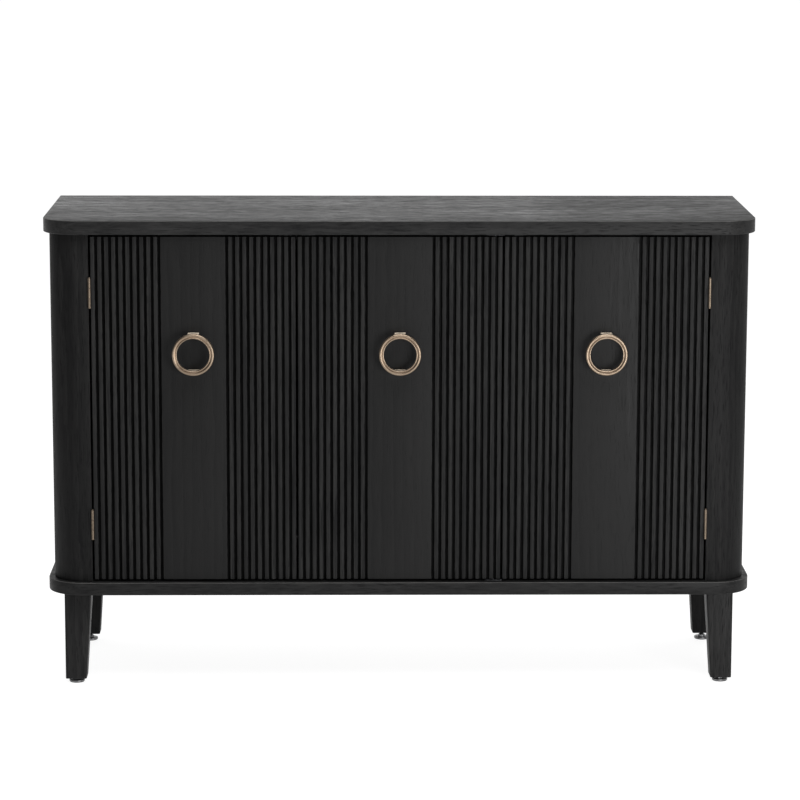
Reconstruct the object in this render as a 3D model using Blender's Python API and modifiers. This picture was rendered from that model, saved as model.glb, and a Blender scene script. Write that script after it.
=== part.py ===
"""A three-door sideboard with reeded fronts, standing on four tapered legs.

Units are metres. +Z is up, the doors face -Y, and the origin is on the floor below the middle
of the whole object. Left and right are as seen by a person who faces the doors.

The case is a top and a base slab with round front corners, two sides, two quarter-round corner
posts, a back and one partition. The left and middle doors close one wide bay, the right door
closes a narrow one. The outer doors turn on butt hinges, the middle one on two pivot pins.
"""

import math

import bmesh
import bpy
from mathutils import Matrix, Vector

# Overall size
WIDTH = 1.200
SLAB_DEPTH = 0.380
HEIGHT = 0.802

# Top and base slabs
TOP_THICK = 0.0235
BASE_THICK = 0.022
BASE_UNDERSIDE = 0.162
SLAB_RADIUS = 0.062
SLAB_EASE = 0.0015
OVERHANG = 0.010

# Case
BOARD = 0.018
BACK_THICK = 0.005
BACK_RECESS = 0.006
POST_REACH = 0.066
OPENING_HALF = 0.5215
ARC_STEPS = 10

# Doors
DOOR_THICK = 0.020
DOOR_GAP_SIDE = 0.003
DOOR_GAP_END = 0.004
DOOR_COUNT = 3
REEDS_EACH_SIDE = 10
REED_WIDTH = 0.0080
GROOVE_WIDTH = 0.0037
GROOVE_DEPTH = 0.0040
REED_ROUND = 0.0016
REED_STEPS = 2

# Ring pulls
RING_HEIGHT = 0.578
RING_OUTER = 0.0355
RING_INNER = 0.0273
RING_DEPTH = 0.0080
RING_GROOVE = 0.0012
RING_STEPS = 40
RING_STANDOFF = 0.024
POST_BLOCK_WIDTH = 0.019
POST_BLOCK_TALL = 0.0070
POST_BLOCK_EASE = 0.0008

# Butt hinges of the outer doors
HINGE_INSET = 0.095
HINGE_TALL = 0.051
KNUCKLE_RADIUS = 0.0024
KNUCKLE_BORE = 0.0011
PIN_RADIUS = 0.0009
PIN_HEAD_RADIUS = 0.0019
PIN_HEAD_TALL = 0.0014
PIN_HEAD_CROWN = 0.0013
PIN_OUT = 0.0022
LEAF_NEAR = 0.0003
LEAF_FAR = 0.0012
LEAF_START = 0.0028
LEAF_END = 0.0180
LEAF_TAB_START = 0.0012
LEAF_TAB_OVERLAP = 0.0002

# Pivots of the middle door
PIVOT_FROM_EDGE = 0.012
PIVOT_BEHIND_FACE = 0.008
PIVOT_PIN_RADIUS = 0.0017
PIVOT_PIN_INTO_DOOR = 0.008
PIVOT_PLATE = (0.030, 0.012, 0.0015)
BUSH_RADIUS = 0.0030
BUSH_BORE = 0.0019
BUSH_LENGTH = 0.0091
BUSH_HOLE_DEPTH = 0.0100
PARTITION_BEHIND_DOOR = 0.006

# Shelves and their pins
SHELF_TOP = 0.470
SHELF_SIDE_GAP = 0.0015
SHELF_FRONT = 0.056
SHELF_PIN_RADIUS = 0.0025
SHELF_PIN_DEEP = 0.008
SHELF_PIN_PROUD = 0.009
SHELF_PIN_FROM_EDGE = 0.045

# Magnetic catches and their strike plates
CATCH_DEEP = 0.013
CATCH_TALL = 0.012
CATCH_WIDE_PAIR = 0.076
CATCH_WIDE_SINGLE = 0.034
CATCH_FROM_PARTITION = 0.0025
CATCH_EASE = 0.0010
STRIKE = (0.026, 0.0010, 0.015)
STRIKE_FROM_EDGE = 0.019
STRIKE_FROM_TOP = 0.010

# Legs and levelling feet
LEG_INSET = 0.028
LEG_TOP = 0.046
LEG_BOTTOM = 0.036
LEG_ROUND = 0.003
LEG_UNDERSIDE_FRONT = 0.0085
LEG_UNDERSIDE_BACK = 0.0135
FOOT_RADIUS = 0.0133
FOOT_TALL = 0.0042
FOOT_EASE = 0.0009
FOOT_NUT_RADIUS = 0.0060
FOOT_NUT_TOP = 0.0080
FOOT_STEM_RADIUS = 0.0040
FOOT_STEM_TOP = 0.033
FOOT_BORE_TOP = 0.035

# How round pieces are divided
SMALL_SIDES = 12
ROUND_SIDES = 20
EASED_ANGLE = math.radians(50.0)

# Working clearance between faces that touch on the real object
GAP = 0.0003
HOLE_PLAY = 0.0003
MERGE = 0.00005

# Places worked out from the sizes above
HANDLE_REACH = RING_STANDOFF - OVERHANG
SLAB_FRONT = -(SLAB_DEPTH + HANDLE_REACH) / 2.0 + HANDLE_REACH
SLAB_BACK = SLAB_FRONT + SLAB_DEPTH
FACE = SLAB_FRONT + OVERHANG
BODY_HALF = WIDTH / 2.0 - OVERHANG
BODY_RADIUS = SLAB_RADIUS - OVERHANG
BODY_BACK = SLAB_BACK - OVERHANG / 2.0
CASE_FLOOR = BASE_UNDERSIDE + BASE_THICK
CASE_CEILING = HEIGHT - TOP_THICK
SIDE_INNER = BODY_HALF - BOARD
BACK_FRONT_FACE = BODY_BACK - BACK_RECESS - BACK_THICK
DOOR_WIDTH = (2.0 * OPENING_HALF - (DOOR_COUNT + 1) * DOOR_GAP_SIDE) / DOOR_COUNT
DOOR_PITCH = DOOR_WIDTH + DOOR_GAP_SIDE
DOOR_LOW = CASE_FLOOR + DOOR_GAP_END
DOOR_HIGH = CASE_CEILING - DOOR_GAP_END
DOOR_MIDDLE = (DOOR_LOW + DOOR_HIGH) / 2.0
DOOR_BACK = FACE + DOOR_THICK
PARTITION_X = DOOR_PITCH / 2.0
PARTITION_FRONT = DOOR_BACK + PARTITION_BEHIND_DOOR
DOOR_NAMES = ("left", "middle", "right")
DOOR_CENTRES = tuple((index - 1) * DOOR_PITCH for index in range(DOOR_COUNT))
HINGE_AXIS_X = OPENING_HALF - DOOR_GAP_SIDE / 2.0
HINGE_AXIS_Y = FACE - PIN_OUT
PIVOT_AXIS_X = DOOR_CENTRES[1] + DOOR_WIDTH / 2.0 - PIVOT_FROM_EDGE
PIVOT_AXIS_Y = FACE + PIVOT_BEHIND_FACE


# ---------------------------------------------------------------- scene helpers

def clear_scene():
    """Remove every object, so that the script starts from an empty scene."""
    for item in list(bpy.data.objects):
        bpy.data.objects.remove(item, do_unlink=True)


def new_collection(name):
    """A collection linked to the scene."""
    group = bpy.data.collections.new(name)
    bpy.context.scene.collection.children.link(group)
    return group


def finish(name, colour, roughness, metallic=0.0):
    """A plain Principled material."""
    material = bpy.data.materials.new(name)
    material.use_nodes = True
    shader = material.node_tree.nodes["Principled BSDF"]
    shader.inputs["Base Color"].default_value = (*colour, 1.0)
    shader.inputs["Roughness"].default_value = roughness
    shader.inputs["Metallic"].default_value = metallic
    material.diffuse_color = (*colour, 1.0)
    return material


def hold(child, parent):
    """Parent child to an object and keep the child where it stands."""
    place = Matrix.LocRotScale(parent.location, parent.rotation_euler, parent.scale)
    child.parent = parent
    child.matrix_parent_inverse = place.inverted()


def axis_empty(name, location, group):
    """An empty on a joint's axis, which carries the pieces that turn about it."""
    empty = bpy.data.objects.new(name, None)
    empty.location = location
    empty.empty_display_size = 0.05
    group.objects.link(empty)
    return empty


def add_object(name, shape, location, group, material=None):
    """Turn a bmesh into an object at a location."""
    mesh = bpy.data.meshes.new(name)
    shape.to_mesh(mesh)
    shape.free()
    item = bpy.data.objects.new(name, mesh)
    item.location = location
    group.objects.link(item)
    if material is not None:
        mesh.materials.append(material)
    return item


# ---------------------------------------------------------------- shapes

def box(name, low, high, group, material=None, ease=0.0):
    """A board between two corners, with its edges eased by a bevel of one segment."""
    size = Vector(high) - Vector(low)
    shape = bmesh.new()
    bmesh.ops.create_cube(shape, size=1.0)
    bmesh.ops.scale(shape, vec=size, verts=shape.verts)
    item = add_object(name, shape, (Vector(low) + Vector(high)) / 2.0, group, material)
    if ease:
        ease_edges(item, ease)
    return item


def ease_edges(item, width, segments=1):
    """Round an object's sharp edges."""
    bevel = item.modifiers.new("eased_edges", "BEVEL")
    bevel.width = width
    bevel.segments = segments
    bevel.limit_method = "ANGLE"
    bevel.angle_limit = EASED_ANGLE
    return bevel


def rod(name, radius, low_z, high_z, place, group, material=None, sides=ROUND_SIDES):
    """An upright cylinder between two heights, on the axis through place."""
    shape = bmesh.new()
    bmesh.ops.create_cone(shape, cap_ends=True, segments=sides, radius1=radius, radius2=radius,
                          depth=high_z - low_z)
    return add_object(name, shape, (place[0], place[1], (low_z + high_z) / 2.0), group, material)


def lying_rod(name, radius, low_x, high_x, place, group, material=None, sides=ROUND_SIDES):
    """A cylinder along X, on the axis through place, which is (y, z)."""
    item = rod(name, radius, low_x, high_x, (0.0, 0.0), group, material, sides)
    item.location = ((low_x + high_x) / 2.0, place[0], place[1])
    item.rotation_euler = (0.0, math.radians(90.0), 0.0)
    return item


def slab(name, outline, low_z, high_z, place, group, material=None):
    """An outline in plan, made upright from low_z to high_z, with place as its (x, y) origin."""
    curve = bpy.data.curves.new(name, "CURVE")
    curve.dimensions = "2D"
    curve.fill_mode = "BOTH"
    curve.extrude = (high_z - low_z) / 2.0
    spline = curve.splines.new("POLY")
    spline.points.add(len(outline) - 1)
    for point, (x, y) in zip(spline.points, outline):
        point.co = (x, y, 0.0, 1.0)
    spline.use_cyclic_u = True
    guide = bpy.data.objects.new(name + "_outline", curve)
    group.objects.link(guide)
    evaluated = guide.evaluated_get(bpy.context.evaluated_depsgraph_get())
    mesh = bpy.data.meshes.new_from_object(evaluated)
    shape = bmesh.new()
    shape.from_mesh(mesh)
    bmesh.ops.remove_doubles(shape, verts=shape.verts, dist=MERGE)
    bmesh.ops.recalc_face_normals(shape, faces=shape.faces)
    bpy.data.objects.remove(guide, do_unlink=True)
    bpy.data.curves.remove(curve)
    bpy.data.meshes.remove(mesh)
    centre = (place[0], place[1], (low_z + high_z) / 2.0)
    return add_object(name, shape, centre, group, material)


def turned(name, profile, location, group, material, steps, closed=False):
    """A profile of (radius, height) points, listed down its outer side, turned about Z."""
    shape = bmesh.new()
    points = [shape.verts.new((radius, 0.0, height)) for radius, height in profile]
    for first, second in zip(points, points[1:]):
        shape.edges.new((first, second))
    if closed:
        shape.edges.new((points[-1], points[0]))
    item = add_object(name, shape, location, group, material)
    screw = item.modifiers.new("turned", "SCREW")
    screw.steps = steps
    screw.render_steps = steps
    screw.use_merge_vertices = True
    screw.merge_threshold = MERGE
    screw.use_smooth_shade = True
    return item


def boolean(item, other, operation, cutters):
    """Cut other out of item or join it to item; other becomes a hidden guide."""
    modifier = item.modifiers.new(other.name, "BOOLEAN")
    modifier.operation = operation
    modifier.solver = "EXACT"
    modifier.object = other
    for group in list(other.users_collection):
        group.objects.unlink(other)
    cutters.objects.link(other)
    other.hide_render = True
    other.display_type = "WIRE"
    hold(other, item)


def arc(centre, radius, start, end, steps):
    """Points on an arc, from a start angle to an end angle in degrees."""
    points = []
    for step in range(steps + 1):
        angle = math.radians(start + (end - start) * step / steps)
        points.append((centre[0] + radius * math.cos(angle), centre[1] + radius * math.sin(angle)))
    return points


def mirrored(outline, side):
    """The outline as drawn for side 1, or its mirror image in X for side -1."""
    return [(side * x, y) for x, y in outline]


# ---------------------------------------------------------------- the case

def slab_outline():
    """The plan of the top and base slabs: square at the back, round at the front corners."""
    half = WIDTH / 2.0
    inner = half - SLAB_RADIUS
    centre_y = SLAB_FRONT + SLAB_RADIUS
    left_corner = arc((-inner, centre_y), SLAB_RADIUS, 180.0, 270.0, ARC_STEPS)
    right_corner = arc((inner, centre_y), SLAB_RADIUS, 270.0, 360.0, ARC_STEPS)
    return left_corner + right_corner + [(half, SLAB_BACK), (-half, SLAB_BACK)]


def corner_post_outline():
    """The plan of the right corner post: a board bent through a quarter of a circle."""
    inner_radius = BODY_RADIUS - BOARD
    centre = (BODY_HALF - BODY_RADIUS, FACE + BODY_RADIUS)
    end_y = FACE + POST_REACH
    outer = arc(centre, BODY_RADIUS, 270.0, 360.0, ARC_STEPS)
    inner = arc(centre, inner_radius, 360.0, 270.0, ARC_STEPS // 2)
    start = [(OPENING_HALF, FACE + BOARD), (OPENING_HALF, FACE)]
    return start + outer + [(BODY_HALF, end_y), (SIDE_INNER, end_y)] + inner


def build_case(parts, cutters, wood, back_finish):
    """The slabs, sides, corner posts, back and partition."""
    low = CASE_FLOOR + GAP
    high = CASE_CEILING - GAP
    top = slab("top_panel", slab_outline(), CASE_CEILING, HEIGHT, (0.0, 0.0), parts, wood)
    ease_edges(top, SLAB_EASE)
    base = slab("base_panel", slab_outline(), BASE_UNDERSIDE, CASE_FLOOR, (0.0, 0.0), parts, wood)
    ease_edges(base, SLAB_EASE)

    for side, word in ((-1, "left"), (1, "right")):
        outline = mirrored(corner_post_outline(), side)
        slab(word + "_corner_post", outline, low, high, (0.0, 0.0), parts, wood)
        near = side * SIDE_INNER
        far = side * BODY_HALF
        front = FACE + POST_REACH + GAP
        panel = box(word + "_side_panel", (min(near, far), front, low), (max(near, far), BODY_BACK, high),
                    parts, wood)
        drill_pin_holes(panel, near, side, cutters)

    edge = SIDE_INNER - GAP
    box("back_panel", (-edge, BACK_FRONT_FACE, low), (edge, BACK_FRONT_FACE + BACK_THICK, high),
        parts, back_finish)
    half = BOARD / 2.0
    partition = box("partition", (PARTITION_X - half, PARTITION_FRONT, low),
                    (PARTITION_X + half, BACK_FRONT_FACE - GAP, high), parts, wood)
    drill_pin_holes(partition, PARTITION_X - half, 1, cutters)
    drill_pin_holes(partition, PARTITION_X + half, -1, cutters)


# ---------------------------------------------------------------- shelves

def shelf_pin_rows():
    """The two distances from front to back where shelf pins stand, with their names."""
    front = FACE + SHELF_FRONT + SHELF_PIN_FROM_EDGE
    back = BACK_FRONT_FACE - SHELF_PIN_FROM_EDGE
    return (("front", front), ("back", back))


def shelf_pin_height():
    """The height of the pins' axes, just under the shelves."""
    return SHELF_TOP - BOARD - GAP - SHELF_PIN_RADIUS


def drill_pin_holes(board, face_x, into, cutters):
    """Drill two blind pin holes into an upright board's face, in the direction into along X."""
    play = SHELF_PIN_RADIUS + HOLE_PLAY
    ends = (face_x - into * SHELF_PIN_DEEP, face_x + into * (SHELF_PIN_DEEP + HOLE_PLAY))
    side = "right" if into > 0 else "left"
    for word, y in shelf_pin_rows():
        name = board.name + "_" + side + "_" + word + "_pin_hole"
        hole = lying_rod(name, play, min(ends), max(ends), (y, shelf_pin_height()), cutters)
        boolean(board, hole, "DIFFERENCE", cutters)


def build_shelves(parts, wood, steel):
    """One shelf in each bay, on four pins."""
    half = BOARD / 2.0
    bays = (("left", -SIDE_INNER, PARTITION_X - half), ("right", PARTITION_X + half, SIDE_INNER))
    for word, low_x, high_x in bays:
        low = (low_x + SHELF_SIDE_GAP, FACE + SHELF_FRONT, SHELF_TOP - BOARD)
        high = (high_x - SHELF_SIDE_GAP, BACK_FRONT_FACE - SHELF_SIDE_GAP, SHELF_TOP)
        box(word + "_shelf", low, high, parts, wood)
        for row, y in shelf_pin_rows():
            for end, face_x, into in (("left", low_x, 1), ("right", high_x, -1)):
                ends = (face_x - into * SHELF_PIN_DEEP, face_x + into * SHELF_PIN_PROUD)
                name = word + "_shelf_pin_" + row + "_" + end
                lying_rod(name, SHELF_PIN_RADIUS, min(ends), max(ends), (y, shelf_pin_height()),
                          parts, steel, sides=SMALL_SIDES)


# ---------------------------------------------------------------- doors

def door_lands():
    """The raised lands of a door from left to right: reeds, one wide flat strip, reeds."""
    pitch = REED_WIDTH + GROOVE_WIDTH
    left_edge = -DOOR_WIDTH / 2.0
    starts = [left_edge + index * pitch for index in range(REEDS_EACH_SIDE)]
    left_reeds = [(start, start + REED_WIDTH) for start in starts]
    right_reeds = [(-high, -low) for low, high in reversed(left_reeds)]
    strip_edge = DOOR_WIDTH / 2.0 - REEDS_EACH_SIDE * pitch
    return left_reeds + [(-strip_edge, strip_edge)] + right_reeds


def door_outline():
    """The plan of a door: lands with rounded edges at the front, grooves between, a flat back."""
    lands = door_lands()
    outline = []
    for index, (low, high) in enumerate(lands):
        outline += arc((low + REED_ROUND, REED_ROUND), REED_ROUND, 180.0, 270.0, REED_STEPS)
        outline += arc((high - REED_ROUND, REED_ROUND), REED_ROUND, 270.0, 360.0, REED_STEPS)
        if index + 1 < len(lands):
            outline += [(high, GROOVE_DEPTH), (lands[index + 1][0], GROOVE_DEPTH)]
    half = DOOR_WIDTH / 2.0
    return outline + [(half, DOOR_THICK), (-half, DOOR_THICK)]


def ring_profile():
    """The ring's section as (radius, height): a band with two round ridges and a groove."""
    middle = (RING_OUTER + RING_INNER) / 2.0
    ridge = (RING_OUTER - RING_INNER) / 4.0
    half = RING_DEPTH / 2.0
    crown = half - ridge
    outer = arc((RING_OUTER - ridge, crown), ridge, 90.0, 0.0, 2)
    inner = arc((RING_INNER + ridge, crown), ridge, 180.0, 90.0, 2)
    return [(middle, half - RING_GROOVE)] + outer + [(RING_OUTER, -half), (RING_INNER, -half)] + inner


def build_ring_pull(word, centre_x, carrier, parts, brass):
    """A fixed ring on two blocks, one at its top and one at its bottom."""
    ring_y = FACE - RING_STANDOFF + RING_DEPTH / 2.0
    ring = turned(word + "_ring_pull", ring_profile(), (centre_x, ring_y, RING_HEIGHT), parts, brass,
                  RING_STEPS, closed=True)
    ring.rotation_euler = (math.radians(90.0), 0.0, 0.0)
    hold(ring, carrier)
    middle = (RING_OUTER + RING_INNER) / 2.0
    half_wide = POST_BLOCK_WIDTH / 2.0
    half_tall = POST_BLOCK_TALL / 2.0
    for end, sign in (("upper", 1), ("lower", -1)):
        z = RING_HEIGHT + sign * middle
        low = (centre_x - half_wide, ring_y + RING_DEPTH / 2.0 + GAP, z - half_tall)
        high = (centre_x + half_wide, FACE - GAP, z + half_tall)
        block = box(word + "_ring_post_" + end, low, high, parts, brass, ease=POST_BLOCK_EASE)
        hold(block, carrier)


def build_doors(parts, cutters, wood, brass):
    """The three doors with their ring pulls; returns the empties that they turn on."""
    axes = {
        "left": (-HINGE_AXIS_X, HINGE_AXIS_Y, DOOR_MIDDLE),
        "middle": (PIVOT_AXIS_X, PIVOT_AXIS_Y, DOOR_MIDDLE),
        "right": (HINGE_AXIS_X, HINGE_AXIS_Y, DOOR_MIDDLE),
    }
    carriers = {}
    for word, centre_x in zip(DOOR_NAMES, DOOR_CENTRES):
        carrier = axis_empty(word + "_door_axis", axes[word], parts)
        carriers[word] = carrier
        door = slab(word + "_door", door_outline(), DOOR_LOW, DOOR_HIGH, (centre_x, FACE), parts, wood)
        hold(door, carrier)
        if word == "middle":
            drill_pivot_holes(door, cutters)
        build_ring_pull(word, centre_x, carrier, parts, brass)
    return carriers


# ---------------------------------------------------------------- butt hinges

def hinge_leaf(name, place, towards, knuckles, parts, cutters, brass):
    """One leaf: a plate on one side of the pin's axis, with its knuckles bored for the pin."""
    x, y, z = place
    near = x + towards * LEAF_NEAR
    far = x + towards * LEAF_FAR
    low_x = min(near, far)
    high_x = max(near, far)
    half = HINGE_TALL / 2.0
    leaf = box(name, (low_x, y + LEAF_START, z - half), (high_x, y + LEAF_END, z + half), parts, brass)
    for index, (low, high) in enumerate(knuckles):
        tab_end = y + LEAF_START + LEAF_TAB_OVERLAP
        tab = box(name + "_tab_" + str(index), (low_x, y + LEAF_TAB_START, z + low),
                  (high_x, tab_end, z + high), cutters)
        boolean(leaf, tab, "UNION", cutters)
        knuckle = rod(name + "_knuckle_" + str(index), KNUCKLE_RADIUS, z + low, z + high, (x, y), cutters)
        boolean(leaf, knuckle, "UNION", cutters)
    bore = rod(name + "_bore", KNUCKLE_BORE, z - HINGE_TALL, z + HINGE_TALL, (x, y), cutters)
    boolean(leaf, bore, "DIFFERENCE", cutters)
    return leaf


def hinge_pin_profile():
    """The pin's outline: a flat head over the upper knuckle and a plain shank."""
    half = HINGE_TALL / 2.0
    head_low = half + GAP
    head_high = head_low + PIN_HEAD_TALL
    shank_end = -half - GAP
    return [(0.0, head_high), (PIN_HEAD_CROWN, head_high), (PIN_HEAD_RADIUS, head_low + GAP),
            (PIN_HEAD_RADIUS, head_low), (PIN_RADIUS, head_low), (PIN_RADIUS, shank_end),
            (0.0, shank_end)]


def build_butt_hinges(carriers, parts, cutters, brass):
    """Two hinges on each outer door; the door's leaf has the middle knuckle."""
    third = HINGE_TALL / 6.0
    half = HINGE_TALL / 2.0
    play = GAP / 2.0
    case_knuckles = ((-half, -third - play), (third + play, half))
    door_knuckles = ((-third + play, third - play),)
    for side, word in ((-1, "left"), (1, "right")):
        for end, z in (("upper", DOOR_HIGH - HINGE_INSET), ("lower", DOOR_LOW + HINGE_INSET)):
            name = word + "_" + end + "_hinge"
            place = (side * HINGE_AXIS_X, HINGE_AXIS_Y, z)
            hinge_leaf(name + "_case_leaf", place, side, case_knuckles, parts, cutters, brass)
            leaf = hinge_leaf(name + "_door_leaf", place, -side, door_knuckles, parts, cutters, brass)
            hold(leaf, carriers[word])
            turned(name + "_pin", hinge_pin_profile(), place, parts, brass, SMALL_SIDES)


# ---------------------------------------------------------------- pivots of the middle door

def door_ends():
    """The middle door's two ends: name, height, and the way out of the door along Z."""
    return (("upper", DOOR_HIGH, 1), ("lower", DOOR_LOW, -1))


def drill_pivot_holes(door, cutters):
    """Bore a blind hole for a bush in each end of the door."""
    for end, edge, out in door_ends():
        ends = (edge - out * BUSH_HOLE_DEPTH, edge + out * BUSH_HOLE_DEPTH)
        hole = rod("middle_door_" + end + "_bush_hole", BUSH_RADIUS + HOLE_PLAY, min(ends), max(ends),
                   (PIVOT_AXIS_X, PIVOT_AXIS_Y), cutters)
        boolean(door, hole, "DIFFERENCE", cutters)


def build_pivots(carrier, parts, cutters, steel, plastic):
    """A plate with a pin on the base and under the top, and a bush for each in the door."""
    plate_x, plate_y, plate_z = PIVOT_PLATE
    limits = {"upper": CASE_CEILING - GAP, "lower": CASE_FLOOR + GAP}
    for end, edge, out in door_ends():
        case_face = limits[end]
        ends = (case_face, case_face - out * plate_z)
        low = (PIVOT_AXIS_X - plate_x / 2.0, PIVOT_AXIS_Y - plate_y / 2.0, min(ends))
        high = (PIVOT_AXIS_X + plate_x / 2.0, PIVOT_AXIS_Y + plate_y / 2.0, max(ends))
        plate = box(end + "_pivot_plate", low, high, parts, steel)
        tip = edge - out * PIVOT_PIN_INTO_DOOR
        root = case_face - out * plate_z / 2.0
        pin = rod(end + "_pivot_pin", PIVOT_PIN_RADIUS, min(tip, root), max(tip, root),
                  (PIVOT_AXIS_X, PIVOT_AXIS_Y), cutters)
        boolean(plate, pin, "UNION", cutters)

        half = BUSH_LENGTH / 2.0
        middle = edge - out * (BUSH_HOLE_DEPTH - GAP - half)
        profile = [(BUSH_RADIUS, half), (BUSH_RADIUS, -half), (BUSH_BORE, -half), (BUSH_BORE, half)]
        bush = turned(end + "_pivot_bush", profile, (PIVOT_AXIS_X, PIVOT_AXIS_Y, middle), parts, plastic,
                      ROUND_SIDES, closed=True)
        hold(bush, carrier)


# ---------------------------------------------------------------- catches

def build_catches(carriers, parts, plastic, steel):
    """Magnetic catches under the top, behind the doors' free edges, and a strike on each door."""
    strike_x, strike_y, strike_z = STRIKE
    catch_front = DOOR_BACK + GAP + strike_y + 2.0 * GAP
    high_z = CASE_CEILING - GAP
    low_z = high_z - CATCH_TALL
    pair_x = -DOOR_PITCH / 2.0
    single_low = PARTITION_X + BOARD / 2.0 + CATCH_FROM_PARTITION
    spans = (("pair_catch", pair_x - CATCH_WIDE_PAIR / 2.0, pair_x + CATCH_WIDE_PAIR / 2.0),
             ("single_catch", single_low, single_low + CATCH_WIDE_SINGLE))
    for name, low_x, high_x in spans:
        box(name, (low_x, catch_front, low_z), (high_x, catch_front + CATCH_DEEP, high_z), parts,
            plastic, ease=CATCH_EASE)

    free_edges = {"left": DOOR_CENTRES[0] + DOOR_WIDTH / 2.0, "middle": DOOR_CENTRES[1] - DOOR_WIDTH / 2.0,
                  "right": DOOR_CENTRES[2] - DOOR_WIDTH / 2.0}
    for word, edge in free_edges.items():
        inward = -1 if word == "left" else 1
        from_edge = STRIKE_FROM_EDGE + (BOARD / 2.0 if word == "right" else 0.0)
        x = edge + inward * from_edge
        z = DOOR_HIGH - STRIKE_FROM_TOP
        plate = box(word + "_strike_plate",
                    (x - strike_x / 2.0, DOOR_BACK + GAP, z - strike_z / 2.0),
                    (x + strike_x / 2.0, DOOR_BACK + GAP + strike_y, z + strike_z / 2.0), parts, steel)
        hold(plate, carriers[word])


# ---------------------------------------------------------------- legs and feet

def foot_profile():
    """A levelling foot from the top of its stem down to the floor: stem, nut and disc."""
    return [(0.0, FOOT_STEM_TOP), (FOOT_STEM_RADIUS - FOOT_EASE, FOOT_STEM_TOP),
            (FOOT_STEM_RADIUS, FOOT_STEM_TOP - FOOT_EASE), (FOOT_STEM_RADIUS, FOOT_NUT_TOP),
            (FOOT_NUT_RADIUS, FOOT_NUT_TOP), (FOOT_NUT_RADIUS, FOOT_TALL),
            (FOOT_RADIUS - FOOT_EASE, FOOT_TALL), (FOOT_RADIUS, FOOT_TALL - FOOT_EASE),
            (FOOT_RADIUS, FOOT_EASE), (FOOT_RADIUS - FOOT_EASE, 0.0), (0.0, 0.0)]


def leg_shape(height):
    """A square leg about its outer corner at (0, 0): it narrows downwards on its inner faces."""
    shape = bmesh.new()
    bmesh.ops.create_cube(shape, size=1.0)
    for vert in shape.verts:
        width = LEG_TOP if vert.co.z > 0.0 else LEG_BOTTOM
        vert.co.x = (vert.co.x + 0.5) * width
        vert.co.y = (vert.co.y + 0.5) * width
        vert.co.z *= height
    return shape


def build_legs(parts, cutters, wood, steel):
    """Four legs under the base, each turned so that its tapered faces look inwards.

    The back legs end a little higher, so more of their feet's stems shows.
    """
    corners = (("front_left", -1, 1, 0.0), ("front_right", 1, 1, 90.0),
               ("back_right", 1, -1, 180.0), ("back_left", -1, -1, 270.0))
    top = BASE_UNDERSIDE - GAP
    for word, side, inward, turn in corners:
        is_front = inward > 0
        underside = LEG_UNDERSIDE_FRONT if is_front else LEG_UNDERSIDE_BACK
        x = side * (WIDTH / 2.0 - LEG_INSET)
        y = (SLAB_FRONT if is_front else SLAB_BACK) + inward * LEG_INSET
        leg = add_object(word + "_leg", leg_shape(top - underside), (x, y, (top + underside) / 2.0), parts,
                         wood)
        leg.rotation_euler = (0.0, 0.0, math.radians(turn))
        ease_edges(leg, LEG_ROUND, segments=2)

        foot_place = (x - side * LEG_BOTTOM / 2.0, y + inward * LEG_BOTTOM / 2.0, 0.0)
        bore = rod(word + "_leg_bore", FOOT_STEM_RADIUS + HOLE_PLAY, 0.0, FOOT_BORE_TOP, foot_place, cutters)
        boolean(leg, bore, "DIFFERENCE", cutters)
        turned(word + "_foot", foot_profile(), foot_place, parts, steel, ROUND_SIDES)


def main():
    """Build the sideboard."""
    clear_scene()
    parts = new_collection("sideboard")
    cutters = new_collection("sideboard_cutters")
    wood = finish("black_stained_wood", (0.026, 0.025, 0.025), 0.48)
    back_finish = finish("black_back_board", (0.018, 0.018, 0.018), 0.75)
    brass = finish("aged_brass", (0.62, 0.47, 0.31), 0.34, metallic=1.0)
    steel = finish("zinc_plated_steel", (0.55, 0.55, 0.56), 0.38, metallic=1.0)
    plastic = finish("black_plastic", (0.02, 0.02, 0.02), 0.5)

    build_case(parts, cutters, wood, back_finish)
    build_shelves(parts, wood, steel)
    carriers = build_doors(parts, cutters, wood, brass)
    build_butt_hinges(carriers, parts, cutters, brass)
    build_pivots(carriers["middle"], parts, cutters, steel, plastic)
    build_catches(carriers, parts, plastic, steel)
    build_legs(parts, cutters, wood, steel)


main()
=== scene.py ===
"""The looks of a three-door sideboard in black-stained, open-grained wood.

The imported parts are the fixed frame: every piece made here takes its place and size from them
and rides on one of their bodies. Units are metres, +Z is up and the doors face -Y.
"""

import logging
import math
from dataclasses import dataclass, field
from enum import Enum
from typing import Iterable, Sequence

import bmesh
import bpy
from mathutils import Matrix, Vector

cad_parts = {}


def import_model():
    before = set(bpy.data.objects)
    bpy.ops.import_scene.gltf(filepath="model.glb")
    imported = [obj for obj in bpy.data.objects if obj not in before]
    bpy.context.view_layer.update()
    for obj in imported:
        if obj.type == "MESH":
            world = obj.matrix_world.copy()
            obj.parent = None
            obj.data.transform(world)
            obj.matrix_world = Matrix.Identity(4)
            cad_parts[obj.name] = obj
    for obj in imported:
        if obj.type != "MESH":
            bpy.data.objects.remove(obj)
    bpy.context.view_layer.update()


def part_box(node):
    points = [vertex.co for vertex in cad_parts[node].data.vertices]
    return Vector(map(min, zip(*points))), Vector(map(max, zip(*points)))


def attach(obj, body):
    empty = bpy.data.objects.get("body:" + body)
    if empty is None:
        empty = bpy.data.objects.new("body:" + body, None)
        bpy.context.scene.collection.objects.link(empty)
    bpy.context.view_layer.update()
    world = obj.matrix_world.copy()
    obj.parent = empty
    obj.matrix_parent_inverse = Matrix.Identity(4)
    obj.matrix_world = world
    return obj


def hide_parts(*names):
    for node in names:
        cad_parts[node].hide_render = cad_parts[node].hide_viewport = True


Colour = tuple[float, float, float]
Point = tuple[float, float]

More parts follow.
